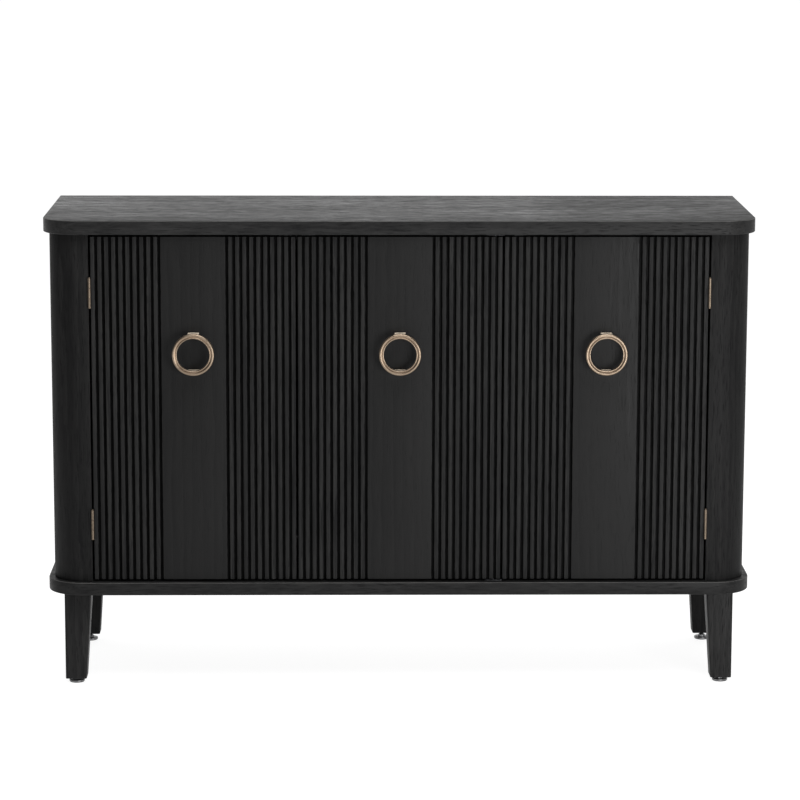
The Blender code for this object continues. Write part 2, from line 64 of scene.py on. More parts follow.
LOG = logging.getLogger("sideboard")
CASE = "case"
SHARP_ANGLE = math.radians(32.0)
GROOVE_DEPTH = 0.0040
GROOVE_SHOULDER = 0.0017
# How far down a groove's shoulder the painted groove shade reaches.
GROOVE_SHADE_REACH = 0.0008


class Grain(Enum):
    """Which way the fibres of a wooden piece run."""

    ALONG = 0
    DEEP = 1
    UPRIGHT = 2


class End(Enum):
    """The two ends of an upright piece, with the way out of it along Z."""

    UPPER = 1
    LOWER = -1

    @property
    def word(self) -> str:
        """The end's name as the frame spells it."""
        return self.name.lower()


class Side(Enum):
    """The left and right sides, with their direction along X."""

    LEFT = -1
    RIGHT = 1

    @property
    def word(self) -> str:
        """The side's name as the frame spells it."""
        return self.name.lower()


# ------------------------------------------------------------------ finishes


class Recipe:
    """Builds one material's nodes round its Principled shader."""

    def __init__(self, name: str) -> None:
        """Start a material.

        Args:
            name: The material's name.
        """
        self.material = bpy.data.materials.new(name)
        self.material.use_nodes = True
        self.tree = self.material.node_tree
        self.shader = self.tree.nodes["Principled BSDF"]

    def node(self, kind: str, **settings: object) -> bpy.types.Node:
        """Add a node and set its options.

        Args:
            kind: The node's type name.
            **settings: Option names and their values.

        Returns:
            The new node.
        """
        made = self.tree.nodes.new(kind)
        for name, value in settings.items():
            setattr(made, name, value)
        return made

    def feed(self, value: object, socket: bpy.types.NodeSocket) -> None:
        """Link an output to a socket, or write a plain value on it."""
        if isinstance(value, bpy.types.NodeSocket):
            self.tree.links.new(value, socket)
        else:
            socket.default_value = value

    def place(self, scale: Sequence[float], shift: float = 0.0) -> bpy.types.NodeSocket:
        """The piece's own coordinates, stretched by scale and moved by shift."""
        coordinates = self.node("ShaderNodeTexCoord")
        mapping = self.node("ShaderNodeMapping")
        mapping.inputs["Scale"].default_value = scale
        mapping.inputs["Location"].default_value = (shift, shift * 0.7, shift * 1.3)
        self.tree.links.new(coordinates.outputs["Object"], mapping.inputs["Vector"])
        return mapping.outputs["Vector"]

    def noise(self, at: bpy.types.NodeSocket, scale: float, detail: float = 2.0,
              rough: float = 0.5, warp: float = 0.0) -> bpy.types.NodeSocket:
        """Smooth noise.

        Args:
            at: The coordinates.
            scale: How fine it is.
            detail: How many finer layers lie on it.
            rough: How strong the finer layers are.
            warp: How much it is twisted.

        Returns:
            A socket from 0 to 1.
        """
        made = self.node("ShaderNodeTexNoise")
        self.feed(at, made.inputs["Vector"])
        for name, value in (("Scale", scale), ("Detail", detail), ("Roughness", rough), ("Distortion", warp)):
            made.inputs[name].default_value = value
        return made.outputs["Fac"]

    def growth(self, at: bpy.types.NodeSocket, grain: Grain, scale: float, warp: float) -> bpy.types.NodeSocket:
        """Growth rings about a pith that runs along the grain, somewhere beside the board."""
        made = self.node("ShaderNodeTexWave", wave_type="RINGS", rings_direction="XYZ"[grain.value],
                         wave_profile="SAW")
        self.feed(at, made.inputs["Vector"])
        settings = (("Scale", scale), ("Distortion", warp), ("Detail", 3.0), ("Detail Scale", 1.3),
                    ("Detail Roughness", 0.62))
        for name, value in settings:
            made.inputs[name].default_value = value
        return made.outputs["Fac"]

    def spread(self, value: bpy.types.NodeSocket, low: float, high: float, to_low: float,
               to_high: float) -> bpy.types.NodeSocket:
        """Turn the range from low to high into the range from to_low to to_high, and stop there."""
        made = self.node("ShaderNodeMapRange", clamp=True)
        for name, entry in (("Value", value), ("From Min", low), ("From Max", high), ("To Min", to_low),
                            ("To Max", to_high)):
            self.feed(entry, made.inputs[name])
        return made.outputs["Result"]

    def sum(self, *terms: tuple[bpy.types.NodeSocket, float]) -> bpy.types.NodeSocket:
        """Add sockets, each times its own share."""
        total: object = 0.0
        for socket, share in terms:
            made = self.node("ShaderNodeMath", operation="MULTIPLY_ADD")
            self.feed(socket, made.inputs[0])
            self.feed(share, made.inputs[1])
            self.feed(total, made.inputs[2])
            total = made.outputs[0]
        return total

    def tint(self, share: bpy.types.NodeSocket, low: object, high: object,
             blend: str = "MIX") -> bpy.types.NodeSocket:
        """Go from one colour to another by a share from 0 to 1."""
        made = self.node("ShaderNodeMix", data_type="RGBA", blend_type=blend, clamp_factor=True)
        self.feed(share, made.inputs[0])
        self.feed((*low, 1.0) if isinstance(low, tuple) else low, made.inputs[6])
        self.feed((*high, 1.0) if isinstance(high, tuple) else high, made.inputs[7])
        return made.outputs[2]

    def measured(self, axis: str) -> bpy.types.NodeSocket:
        """The piece's own X, Y or Z in metres."""
        parts = self.node("ShaderNodeSeparateXYZ")
        self.feed(self.place((1.0, 1.0, 1.0)), parts.inputs["Vector"])
        return parts.outputs[axis]

    def sunk(self, face: float, reach: float, floor: float) -> bpy.types.NodeSocket:
        """1 in grooves cut into a front face and 0 on the face itself and deep behind it.

        Args:
            face: The face's Y.
            reach: How far down a groove's shoulder it goes from 0 to 1.
            floor: How far down the grooves' floors lie.

        Returns:
            A socket from 0 to 1.
        """
        deep = self.measured("Y")
        down = self.spread(deep, face, face + reach, 0.0, 1.0)
        behind = self.spread(deep, face + floor * 1.15, face + floor * 1.4, 1.0, 0.0)
        both = self.node("ShaderNodeMath", operation="MULTIPLY")
        self.feed(down, both.inputs[0])
        self.feed(behind, both.inputs[1])
        return both.outputs[0]

    def edges(self, low: float, high: float) -> bpy.types.NodeSocket:
        """1 on worn outer edges and 0 elsewhere, from how sharply the surface bends."""
        geometry = self.node("ShaderNodeNewGeometry")
        return self.spread(geometry.outputs["Pointiness"], low, high, 0.0, 1.0)

    def relief(self, height: bpy.types.NodeSocket, depth: float, strength: float) -> None:
        """Raise and sink the surface by a height from 0 to 1.

        Args:
            height: The height socket.
            depth: The full height in metres.
            strength: How much of it shows.
        """
        made = self.node("ShaderNodeBump")
        made.inputs["Distance"].default_value = depth
        made.inputs["Strength"].default_value = strength
        self.feed(height, made.inputs["Height"])
        self.feed(made.outputs["Normal"], self.shader.inputs["Normal"])

    def gloss(self, **values: object) -> None:
        """Set the shader's inputs by name, with _ for a space."""
        for name, value in values.items():
            self.feed(value, self.shader.inputs[name.replace("_", " ")])


@dataclass(frozen=True)
class StainedWood:
    """Open-grained wood stained black under a thin satin lacquer."""

    name: str
    grain: Grain
    dark: Colour = (0.0048, 0.0048, 0.0050)
    light: Colour = (0.0250, 0.0247, 0.0245)
    # pitch is the colour of the painted shade in the grooves.
    pitch: Colour = (0.0004, 0.0004, 0.0004)
    ring_period: float = 0.011
    figure: float = 1.0
    pore_line: float = 0.55
    ring_share: float = 0.26
    streak_along: float = 13.0
    patchy: float = 0.0
    dulled: float = 0.0
    dulled_from: Point = (0.22, 0.30)
    smooth: float = 0.30
    rough: float = 0.64
    specular: float = 0.09
    shift: float = 0.0
    grooved: bool = False

    def scale(self, across: float, along: float) -> Vector:
        """Texture scale per metre across the fibres and along them."""
        stretched = Vector((across, across, across))
        stretched[self.grain.value] = along
        return stretched

    def grooves(self, recipe: Recipe, streaks: bpy.types.NodeSocket) -> bpy.types.NodeSocket:
        """Painted shade in the grooves, darkest deep in them, torn into dashes along the grain like black-filled
        pores.
        """
        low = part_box("middle_door")[0]
        depth = recipe.sunk(low.y, GROOVE_SHADE_REACH, GROOVE_DEPTH)
        torn = recipe.noise(recipe.place(self.scale(460.0, 85.0), self.shift), 1.0, 3.0, 0.65)
        ragged = recipe.sum((depth, 0.85), (torn, 1.6), (streaks, 0.30))
        return recipe.spread(ragged, 1.22, 1.52, 0.0, 1.0)

    def build(self) -> bpy.types.Material:
        """Make the material.

        Returns:
            The finished material.
        """
        recipe = Recipe(self.name)
        waves_per_scale = 20.0 / (2.0 * math.pi)
        figure_at = recipe.place(self.scale(1.0, 0.10), self.shift)
        rings = recipe.growth(figure_at, self.grain, 1.0 / (self.ring_period * waves_per_scale), 6.0)
        streaks = recipe.noise(recipe.place(self.scale(170.0, self.streak_along), self.shift), 1.0, 5.0, 0.62)
        clouds = recipe.noise(recipe.place(self.scale(11.0, 3.0), self.shift), 1.0, 2.0, 0.5)
        fibres = recipe.noise(recipe.place(self.scale(620.0, 42.0), self.shift), 1.0, 2.0, 0.6)
        pores = recipe.spread(fibres, self.pore_line, self.pore_line + 0.09, 0.0, 1.0)
        tone = recipe.sum((rings, self.ring_share), (streaks, 0.62), (clouds, 0.40))
        middle, half = 0.51 + 0.5 * self.ring_share, 0.18 / self.figure
        stain = recipe.tint(recipe.spread(tone, middle - half, middle + half, 0.0, 1.0), self.dark, self.light)
        filled = recipe.tint(recipe.sum((pores, 0.75)), stain, self.dark)
        # Grooved pieces go to pitch in their grooves: painted shade, with dashes like black-filled pores.
        colour = recipe.tint(self.grooves(recipe, streaks), filled, self.pitch) if self.grooved else filled
        lacquer = recipe.spread(
            recipe.sum((streaks, 0.75), (pores, 0.25), (rings, self.ring_share), (clouds, self.patchy)),
            0.25 + 0.5 * self.patchy, 0.75 + 0.5 * self.patchy, self.smooth, self.rough)
        if self.dulled:
            dull = recipe.spread(recipe.measured("X"), *self.dulled_from, 0.0, 1.0)
            lacquer = recipe.sum((lacquer, 1.0), (dull, self.dulled))
        recipe.gloss(Base_Color=colour, Roughness=lacquer, Specular_IOR_Level=self.specular)
        recipe.relief(recipe.sum((pores, -0.75), (streaks, 0.35), (rings, 0.4 * self.ring_share)), 0.00030, 0.6)
        return recipe.material


@dataclass(frozen=True)
class AgedBrass:
    """Cast brass with a thin brown patina in its hollows and bright, rubbed ridges."""

    name: str
    bright: Colour = (0.30, 0.236, 0.176)
    brown: Colour = (0.165, 0.115, 0.078)
    rough: float = 0.10
    metallic: float = 1.0

    def build(self) -> bpy.types.Material:
        """Make the material.

        Returns:
            The finished material.
        """
        recipe = Recipe(self.name)
        patches = recipe.noise(recipe.place((60.0, 60.0, 60.0)), 1.0, 4.0, 0.6, 0.4)
        grit = recipe.noise(recipe.place((1400.0, 1400.0, 1400.0)), 1.0, 2.0, 0.6)
        rubbed = recipe.edges(0.47, 0.56)
        share = recipe.sum((patches, 0.55), (rubbed, 0.62))
        recipe.gloss(
            Base_Color=recipe.tint(recipe.spread(share, 0.30, 0.80, 0.0, 1.0), self.brown, self.bright),
            Metallic=self.metallic,
            Roughness=recipe.spread(recipe.sum((patches, 0.6), (grit, 0.4)), 0.25, 0.8, 0.20 + self.rough,
                                    0.36 + self.rough),
        )
        recipe.relief(recipe.sum((grit, 0.5), (patches, 0.5)), 0.00005, 0.35)
        return recipe.material


@dataclass(frozen=True)
class PlatedSteel:
    """Zinc-plated steel with a faint crystal pattern and fine turning marks."""

    name: str = "zinc_plated_steel"
    pale: Colour = (0.66, 0.67, 0.68)
    dull: Colour = (0.40, 0.41, 0.42)

    def build(self) -> bpy.types.Material:
        """Make the material.

        Returns:
            The finished material.
        """
        recipe = Recipe(self.name)
        crystals = recipe.noise(recipe.place((260.0, 260.0, 260.0)), 1.0, 3.0, 0.6, 0.8)
        marks = recipe.noise(recipe.place((90.0, 90.0, 3200.0)), 1.0, 2.0, 0.5)
        recipe.gloss(
            Base_Color=recipe.tint(recipe.spread(crystals, 0.35, 0.65, 0.0, 1.0), self.dull, self.pale),
            Metallic=1.0,
            Roughness=recipe.spread(recipe.sum((crystals, 0.5), (marks, 0.5)), 0.3, 0.7, 0.26, 0.46),
        )
        recipe.relief(recipe.sum((marks, 0.6), (crystals, 0.4)), 0.00004, 0.4)
        return recipe.material


@dataclass(frozen=True)
class MouldedPlastic:
    """Black plastic from a lightly sparked mould."""

    name: str = "black_moulded_plastic"
    body: Colour = (0.016, 0.016, 0.017)
    scuffed: Colour = (0.045, 0.045, 0.047)
    rough: float = 0.50

    def build(self) -> bpy.types.Material:
        """Make the material.

        Returns:
            The finished material.
        """
        recipe = Recipe(self.name)
        spark = recipe.noise(recipe.place((1800.0, 1800.0, 1800.0)), 1.0, 3.0, 0.65)
        scuffs = recipe.noise(recipe.place((120.0, 120.0, 30.0)), 1.0, 4.0, 0.6, 0.5)
        recipe.gloss(
            Base_Color=recipe.tint(recipe.spread(scuffs, 0.55, 0.75, 0.0, 0.6), self.body, self.scuffed),
            Roughness=recipe.spread(spark, 0.3, 0.7, self.rough - 0.06, self.rough + 0.10),
            Specular_IOR_Level=0.45,
        )
        recipe.relief(spark, 0.00008, 0.5)
        return recipe.material


@dataclass(frozen=True)
class BackBoard:
    """Thin fibreboard painted matt black, with its screen pattern faintly showing."""

    name: str = "black_fibreboard"
    paint: Colour = (0.015, 0.015, 0.015)
    thin: Colour = (0.032, 0.030, 0.028)

    def build(self) -> bpy.types.Material:
        """Make the material.

        Returns:
            The finished material.
        """
        recipe = Recipe(self.name)
        fleck = recipe.noise(recipe.place((420.0, 420.0, 420.0)), 1.0, 4.0, 0.65)
        clouds = recipe.noise(recipe.place((6.0, 6.0, 6.0)), 1.0, 3.0, 0.5)
        recipe.gloss(
            Base_Color=recipe.tint(recipe.spread(recipe.sum((fleck, 0.5), (clouds, 0.5)), 0.4, 0.65, 0.0, 1.0),
                                   self.paint, self.thin),
            Roughness=recipe.spread(fleck, 0.3, 0.7, 0.66, 0.82),
            Specular_IOR_Level=0.3,
        )
        recipe.relief(fleck, 0.00015, 0.5)
        return recipe.material


@dataclass(frozen=True)
class StudioFloor:
    """A pale, softly lit-through studio floor with a barely visible mottle."""

    name: str = "pale_floor"
    pale: Colour = (0.36, 0.36, 0.36)
    shade: Colour = (0.33, 0.33, 0.33)
    glow: float = 0.89

    def build(self) -> bpy.types.Material:
        """Make the material.

        Returns:
            The finished material.
        """
        recipe = Recipe(self.name)
        mottle = recipe.noise(recipe.place((1.3, 1.3, 1.3)), 1.0, 3.0, 0.5)
        recipe.gloss(Base_Color=recipe.tint(mottle, self.shade, self.pale), Roughness=0.9,
                     Specular_IOR_Level=0.0, Emission_Color=(1.0, 1.0, 1.0, 1.0), Emission_Strength=self.glow)
        return recipe.material


@dataclass
class Palette:
    """Every finish of the sideboard, built once each."""

    made: dict[str, bpy.types.Material] = field(default_factory=dict)

    def get(self, finish: object) -> bpy.types.Material:
        """The material of a finish, built on first use."""
        if finish.name not in self.made:
            self.made[finish.name] = finish.build()
        return self.made[finish.name]


UPRIGHT_WOOD = StainedWood("black_wood_upright", Grain.UPRIGHT, light=(0.0205, 0.0202, 0.0200), figure=0.7,
                           shift=0.4)
# A darker copy of the upright wood for the back legs: painted shade of the shadow under the case.
BACK_LEG_SHADED_WOOD = StainedWood("black_wood_back_legs", Grain.UPRIGHT, dark=(0.0026, 0.0026, 0.0028),
                            light=(0.0085, 0.0084, 0.0083), figure=0.7, specular=0.06, shift=0.4)
POST_WOOD = StainedWood("black_wood_posts", Grain.UPRIGHT, dark=(0.0034, 0.0034, 0.0036),
                        light=(0.0150, 0.0148, 0.0146), figure=0.6, smooth=0.46, rough=0.70, specular=0.08,
                        shift=0.9)
REED_WOOD = StainedWood("black_wood_reeds", Grain.UPRIGHT, dark=(0.0095, 0.0095, 0.0097),
                        light=(0.0236, 0.0234, 0.0232), figure=0.8, pore_line=0.56, specular=0.035, shift=3.7,
                        ring_period=0.014, grooved=True)
STRIP_WOOD = StainedWood("black_wood_strips", Grain.UPRIGHT, dark=(0.0078, 0.0078, 0.0079),
                         light=(0.0132, 0.0131, 0.0130), figure=0.6, pore_line=0.60, smooth=0.34, rough=0.56,
                         specular=0.08, shift=3.7, ring_period=0.014)
LONG_WOOD = StainedWood("black_wood_long", Grain.ALONG, light=(0.0210, 0.0208, 0.0206), smooth=0.24, rough=0.68,
                        ring_share=0.09, streak_along=34.0, patchy=0.3, dulled=0.075, specular=0.115,
                        shift=2.6, ring_period=0.016)
# A darker copy of the top's long-grained wood for the base slab: painted shade that offsets the light the glowing
# floor throws on it.
BASE_SHADED_WOOD = StainedWood("black_wood_base", Grain.ALONG, dark=(0.0040, 0.0040, 0.0042),
                        light=(0.0185, 0.0183, 0.0181), smooth=0.28, rough=0.68, ring_share=0.09,
                        streak_along=34.0, specular=0.09, shift=2.6, ring_period=0.016)
# Much lighter wood for the slabs' upper rims: a painted highlight, not wear.
RIM_HIGHLIGHT_WOOD = StainedWood("black_wood_rubbed_edge", Grain.ALONG, dark=(0.030, 0.0295, 0.029),
                          light=(0.085, 0.083, 0.080), smooth=0.30, rough=0.60, specular=0.13, shift=1.9)
RING_BRASS = AgedBrass("aged_brass_ring")
# A much lighter copy of the ring's brass for the blocks: a painted highlight on their tops, which catch light from
# above.
HIGHLIGHT_BLOCK_BRASS = AgedBrass("aged_brass_block", bright=(0.80, 0.68, 0.54), brown=(0.50, 0.39, 0.28),
                        rough=0.22, metallic=0.5)
HINGE_BRASS = AgedBrass("aged_brass_hinge", bright=(0.135, 0.106, 0.079),
                        brown=(0.042, 0.028, 0.019), rough=0.14)
STEEL = PlatedSteel()
FOOT_STEEL = PlatedSteel("dulled_steel", pale=(0.26, 0.26, 0.265), dull=(0.11, 0.11, 0.112))
DARK_STEEL = PlatedSteel("blackened_steel", pale=(0.060, 0.060, 0.063), dull=(0.030, 0.030, 0.032))
PLASTIC = MouldedPlastic()
FIBREBOARD = BackBoard()


# ------------------------------------------------------------------ shapes


def arc(centre: Point, radius: float, start: float, end: float, steps: int) -> list[Point]:
    """Points on an arc.

    Args:
        centre: The arc's centre.
        radius: Its radius.
        start: The first angle in degrees.
        end: The last angle in degrees.
        steps: How many chords it has.

    Returns:
        The points, both ends included.
    """
    angles = [math.radians(start + (end - start) * step / steps) for step in range(steps + 1)]
    return [(centre[0] + radius * math.cos(a), centre[1] + radius * math.sin(a)) for a in angles]


def soften(shape: bmesh.types.BMesh, edges: Iterable[bmesh.types.BMEdge], width: float, segments: int) -> None:
    """Round edges of a shape in place."""
    bmesh.ops.bevel(shape, geom=list(edges), offset=width, offset_type="OFFSET", segments=segments,
                    profile=0.5, affect="EDGES", clamp_overlap=True)


def eased_block(low: Vector, high: Vector, ease: float, segments: int = 3) -> bmesh.types.BMesh:
    """A block between two corners with all its edges rounded."""
    shape = bmesh.new()
    bmesh.ops.create_cube(shape, size=1.0)
    bmesh.ops.scale(shape, vec=high - low, verts=shape.verts)
    bmesh.ops.translate(shape, vec=(low + high) / 2.0, verts=shape.verts)
    soften(shape, shape.edges, ease, segments)
    return shape


def raised_outline(outline: Sequence[Point], low_z: float, high_z: float, ease: float,
                   segments: int = 3) -> bmesh.types.BMesh:
    """An outline in plan drawn up from low_z to high_z, with its rims rounded.

    Args:
        outline: The corners in plan, anticlockwise.
        low_z: The lower face's height.
        high_z: The upper face's height.
        ease: The radius of the rims.
        segments: How many facets the rims have.

    Returns:
        The closed shape.
    """
    shape = bmesh.new()
    floor = [shape.verts.new((x, y, low_z)) for x, y in outline]
    roof = [shape.verts.new((x, y, high_z)) for x, y in outline]
    shape.faces.new(list(reversed(floor)))
    shape.faces.new(roof)
    count = len(outline)
    for index in range(count):
        after = (index + 1) % count
        shape.faces.new((floor[index], floor[after], roof[after], roof[index]))
    bmesh.ops.recalc_face_normals(shape, faces=shape.faces)
    rims = [edge for edge in shape.edges if abs(edge.verts[0].co.z - edge.verts[1].co.z) < ease]
    soften(shape, rims, ease, segments)
    return shape


def turned(profile: Sequence[Point], steps: int, closed: bool = False) -> bmesh.types.BMesh:
    """A profile of (radius, height) points turned about Z.

    Args:
        profile: The points; an open profile starts and ends on the axis.
        steps: How many facets go round.
        closed: Whether the profile is a loop that stays off the axis.

    Returns:
        The closed shape.
    """
    shape = bmesh.new()
    rings: list[list[bmesh.types.BMVert]] = []
    for radius, height in profile:
        if radius < 1e-7:
            rings.append([shape.verts.new((0.0, 0.0, height))] * steps)
            continue
        angles = [2.0 * math.pi * step / steps for step in range(steps)]
        rings.append([shape.verts.new((radius * math.cos(a), radius * math.sin(a), height)) for a in angles])
    pairs = list(zip(rings, rings[1:]))
    if closed:
        pairs.append((rings[-1], rings[0]))
    for first, second in pairs:
        for step in range(steps):
            after = (step + 1) % steps
            corners = [first[step], first[after], second[after], second[step]]
            shape.faces.new(list(dict.fromkeys(corners)))
    bmesh.ops.recalc_face_normals(shape, faces=shape.faces)
    return shape


def moved(shape: bmesh.types.BMesh, matrix: Matrix) -> bmesh.types.BMesh:
    """The same shape, put somewhere else."""
    bmesh.ops.transform(shape, matrix=matrix, verts=shape.verts)
    return shape


def facing_front(place: Vector) -> Matrix:
    """A transform that lays a turned shape's axis along -Y, with its top towards the viewer, at place."""
    return Matrix.Translation(place) @ Matrix.Rotation(math.radians(90.0), 4, "X")


# ------------------------------------------------------------------ making and setting pieces


@dataclass
class Bench:
    """Turns shapes into finished pieces and sets them on their bodies."""

    palette: Palette
    count: int = 0

    def loose(self, name: str, shape: bmesh.types.BMesh) -> bpy.types.Object:
        """Make an unfinished object from a shape."""
        mesh = bpy.data.meshes.new(name)
        shape.to_mesh(mesh)
        shape.free()
        item = bpy.data.objects.new(name, mesh)
        bpy.context.scene.collection.objects.link(item)
        return item

    def carve(self, item: bpy.types.Object, tools: Sequence[bmesh.types.BMesh],
              operation: str = "DIFFERENCE") -> bpy.types.Object:
        """Cut shapes out of an object, or weld them to it, for good.

        Args:
            item: The object to change.
            tools: The shapes, which are used up.
            operation: DIFFERENCE to cut or UNION to weld.

        Returns:
            The same object with its new mesh.
        """
        for index, tool in enumerate(tools):
            cutter = self.loose(item.name + "_tool_" + str(index), tool)
            step = item.modifiers.new("carve", "BOOLEAN")
            step.operation = operation
            step.solver = "EXACT"
            step.object = cutter
            seen = item.evaluated_get(bpy.context.evaluated_depsgraph_get())
            mesh = bpy.data.meshes.new_from_object(seen)
            item.modifiers.remove(step)
            old = item.data
            item.data = mesh
            bpy.data.meshes.remove(old)
            bpy.data.objects.remove(cutter, do_unlink=True)
        item.data.name = item.name
        return item

    def dress(self, item: bpy.types.Object, finish: object, body: str, slot: str,
              replaces: Sequence[str] = ()) -> bpy.types.Object:
        """Give an object its finish and set it on its body.

        Args:
            item: The object, already in place.
            finish: What it is made of.
            body: The body it moves with.
            slot: The record's material slot; not used.
            replaces: The plain parts that it stands for.

        Returns:
            The finished piece.
        """
        item.data.materials.clear()
        item.data.materials.append(self.palette.get(finish))
        item.data.shade_smooth()
        item.data.set_sharp_from_angle(angle=SHARP_ANGLE)
        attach(item, body)
        if replaces:
            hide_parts(*replaces)
        self.count += 1
        LOG.info("%s rides on %s", item.name, body)
        return item

    def put(self, name: str, shape: bmesh.types.BMesh, finish: object, body: str, slot: str,
            replaces: Sequence[str] = ()) -> bpy.types.Object:
        """Make an object from a shape, then dress it."""
        return self.dress(self.loose(name, shape), finish, body, slot, replaces)

    def recoat(self, node: str, finish: object) -> None:
        """Give a part of the frame whose plain shape is right a better finish."""
        part = bpy.data.objects[node]
        part.data.materials.clear()
        part.data.materials.append(self.palette.get(finish))
        LOG.info("%s keeps its shape", node)


# ------------------------------------------------------------------ the case


@dataclass
class Carcass:
    """The slabs, corner posts, sides, back, partition and shelves."""

    bench: Bench
    slab_radius: float = 0.062
    slab_ease: float = 0.0016
    board_ease: float = 0.0010
    corner_steps: int = 28
    post_board: float = 0.018
    hole_radius: float = 0.0028
    hole_depth: float = 0.0083
    hole_pitch: float = 0.032
    holes_above: int = 2
    holes_below: int = 2
    back_screws: int = 4

    def build(self) -> None:
        """Make the whole case."""
        self.slabs()
        for side in Side:
            self.corner_post(side)
            self.side_panel(side)
        self.partition()
        self.shelves()
        self.back()

    def slabs(self) -> None:
        """The top and base slabs, round at the front corners."""
        for name, finish in (("top_panel", LONG_WOOD), ("base_panel", BASE_SHADED_WOOD)):
            low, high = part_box(name)
            radius = self.slab_radius
            left = arc((low.x + radius, low.y + radius), radius, 180.0, 270.0, self.corner_steps)
            right = arc((high.x - radius, low.y + radius), radius, 270.0, 360.0, self.corner_steps)
            outline = left + right + [(high.x, high.y), (low.x, high.y)]
            shape = raised_outline(outline, low.z, high.z, self.slab_ease, 4)
            slab = self.bench.put(name + "_board", shape, finish, CASE, "stained_wood", [name])
            self.rub_upper_rim(slab)

    def rub_upper_rim(self, slab: bpy.types.Object) -> None:
        """Give a slab's upper rim a much lighter wood tone: a painted highlight of the bright line along the
        rounded edge.
        """
        slab.data.materials.append(self.bench.palette.get(RIM_HIGHLIGHT_WOOD))
        for face in slab.data.polygons:
            if 0.3 < face.normal.z < 0.95:
                face.material_index = 1

    def corner_post(self, side: Side) -> None:
        """A quarter-round post made of one bent board."""
        name = side.word + "_corner_post"
        low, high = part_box(name)
        slab_low, slab_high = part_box("top_panel")
        body_radius = self.slab_radius - (low.y - slab_low.y)
        outer_x = high.x if side is Side.RIGHT else -low.x
        inner_x = low.x if side is Side.RIGHT else -high.x
        centre = (outer_x - body_radius, low.y + body_radius)
        outer = arc(centre, body_radius, 270.0, 360.0, self.corner_steps)
        inner = arc(centre, body_radius - self.post_board, 360.0, 270.0, self.corner_steps)
        outline = [(inner_x, low.y + self.post_board), (inner_x, low.y)] + outer
        outline += [(outer_x, high.y), (outer_x - self.post_board, high.y)] + inner
        placed = [(side.value * x, y) for x, y in outline]
        shape = raised_outline(placed, low.z, high.z, 0.0004, 2)
        upright = [e for e in shape.edges if self.is_front_corner(e, side.value * inner_x, low.y)]
        soften(shape, upright, 0.0008, 3)
        self.bench.put(name + "_bent", shape, POST_WOOD, CASE, "stained_wood", [name])

    @staticmethod
    def is_front_corner(edge: bmesh.types.BMEdge, x: float, y: float) -> bool:
        """Whether an edge runs up the post's front corner beside the doors."""
        near = 0.00005
        return all(abs(v.co.x - x) < near and abs(v.co.y - y) < near for v in edge.verts)

    def pin_holes(self, board: str, faces: Sequence[tuple[float, int]]) -> list[bmesh.types.BMesh]:
        """Cutters for the two columns of shelf pin holes in each face of an upright board.

        Args:
            board: The board's name.
            faces: Each face's X and the way into the board along X.

        Returns:
            One cutter for each hole.
        """
        tools = []
        for row in ("front", "back"):
            low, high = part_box("right_shelf_pin_" + row + "_left")
            middle = (low + high) / 2.0
            for x, into in faces:
                for step in range(-self.holes_below, self.holes_above + 1):
                    rod = turned([(0.0, self.hole_depth), (self.hole_radius, self.hole_depth),
                                  (self.hole_radius, -self.hole_depth), (0.0, -self.hole_depth)], 20)
                    at = Vector((x, middle.y, middle.z + step * self.hole_pitch))
                    turn = Matrix.Rotation(math.radians(90.0 * into), 4, "Y")
                    tools.append(moved(rod, Matrix.Translation(at) @ turn))
        LOG.info("%s gets %d pin holes", board, len(tools))
        return tools

    def side_panel(self, side: Side) -> None:
        """A side panel behind its corner post."""
        name = side.word + "_side_panel"
        low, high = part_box(name)
        inner_face = low.x if side is Side.RIGHT else high.x
        panel = self.bench.loose(name + "_board", eased_block(low, high, self.board_ease))
        self.bench.carve(panel, self.pin_holes(name, [(inner_face, side.value)]))
        self.bench.dress(panel, UPRIGHT_WOOD, CASE, "stained_wood", [name])

    def partition(self) -> None:
        """The upright board between the two bays."""
        low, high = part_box("partition")
        board = self.bench.loose("partition_board", eased_block(low, high, self.board_ease))
        self.bench.carve(board, self.pin_holes("partition", [(low.x, 1), (high.x, -1)]))
        self.bench.dress(board, UPRIGHT_WOOD, CASE, "stained_wood", ["partition"])

    def shelves(self) -> None:
        """Two shelves with rounded front edges, and the collared pins under them."""
        for side in Side:
            name = side.word + "_shelf"
            low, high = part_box(name)
            self.bench.put(name + "_board", eased_block(low, high, 0.0022, 4), LONG_WOOD, CASE,
                           "stained_wood", [name])
            for row in ("front", "back"):
                for end in Side:
                    self.shelf_pin(name + "_pin_" + row + "_" + end.word, end)

    def shelf_pin(self, node: str, end: Side) -> None:
        """A turned pin with a collar against the board that it is pushed into."""
        low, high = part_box(node)
        radius = (high.z - low.z) / 2.0
        half = (high.x - low.x) / 2.0
        round_off = radius * 0.3
        collar_at = half - 2.0 * half * 9.0 / 17.0
        collar = radius * 1.55
        profile = [(0.0, half), (radius - round_off, half), (radius, half - round_off),
                   (radius, -collar_at + 0.0012), (collar, -collar_at + 0.0010), (collar, -collar_at),
                   (radius, -collar_at), (radius, -half + round_off), (radius - round_off, -half), (0.0, -half)]
        turn = Matrix.Rotation(math.radians(90.0 * -end.value), 4, "Y")
        shape = moved(turned(profile, 28), Matrix.Translation((low + high) / 2.0) @ turn)
        self.bench.put(node + "_turned", shape, STEEL, CASE, "zinc_steel", [node])

    def back(self) -> None:
        """The thin back board and the row of screws that hold it to the partition."""
        low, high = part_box("back_panel")
        self.bench.put("back_panel_board", eased_block(low, high, 0.0004, 2), FIBREBOARD, CASE,
                       "back_board", ["back_panel"])
        board_low, board_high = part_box("partition")
        for index in range(self.back_screws):
            share = (index + 0.5) / self.back_screws
            at = Vector(((board_low.x + board_high.x) / 2.0, high.y, low.z + (high.z - low.z) * share))
            Screw(self.bench, 0.0034, 0.0013).drive(
                "back_panel_screw_" + str(index), at, Vector((0.0, 1.0, 0.0)), CASE, STEEL, "zinc_steel")


# ------------------------------------------------------------------ doors and pulls


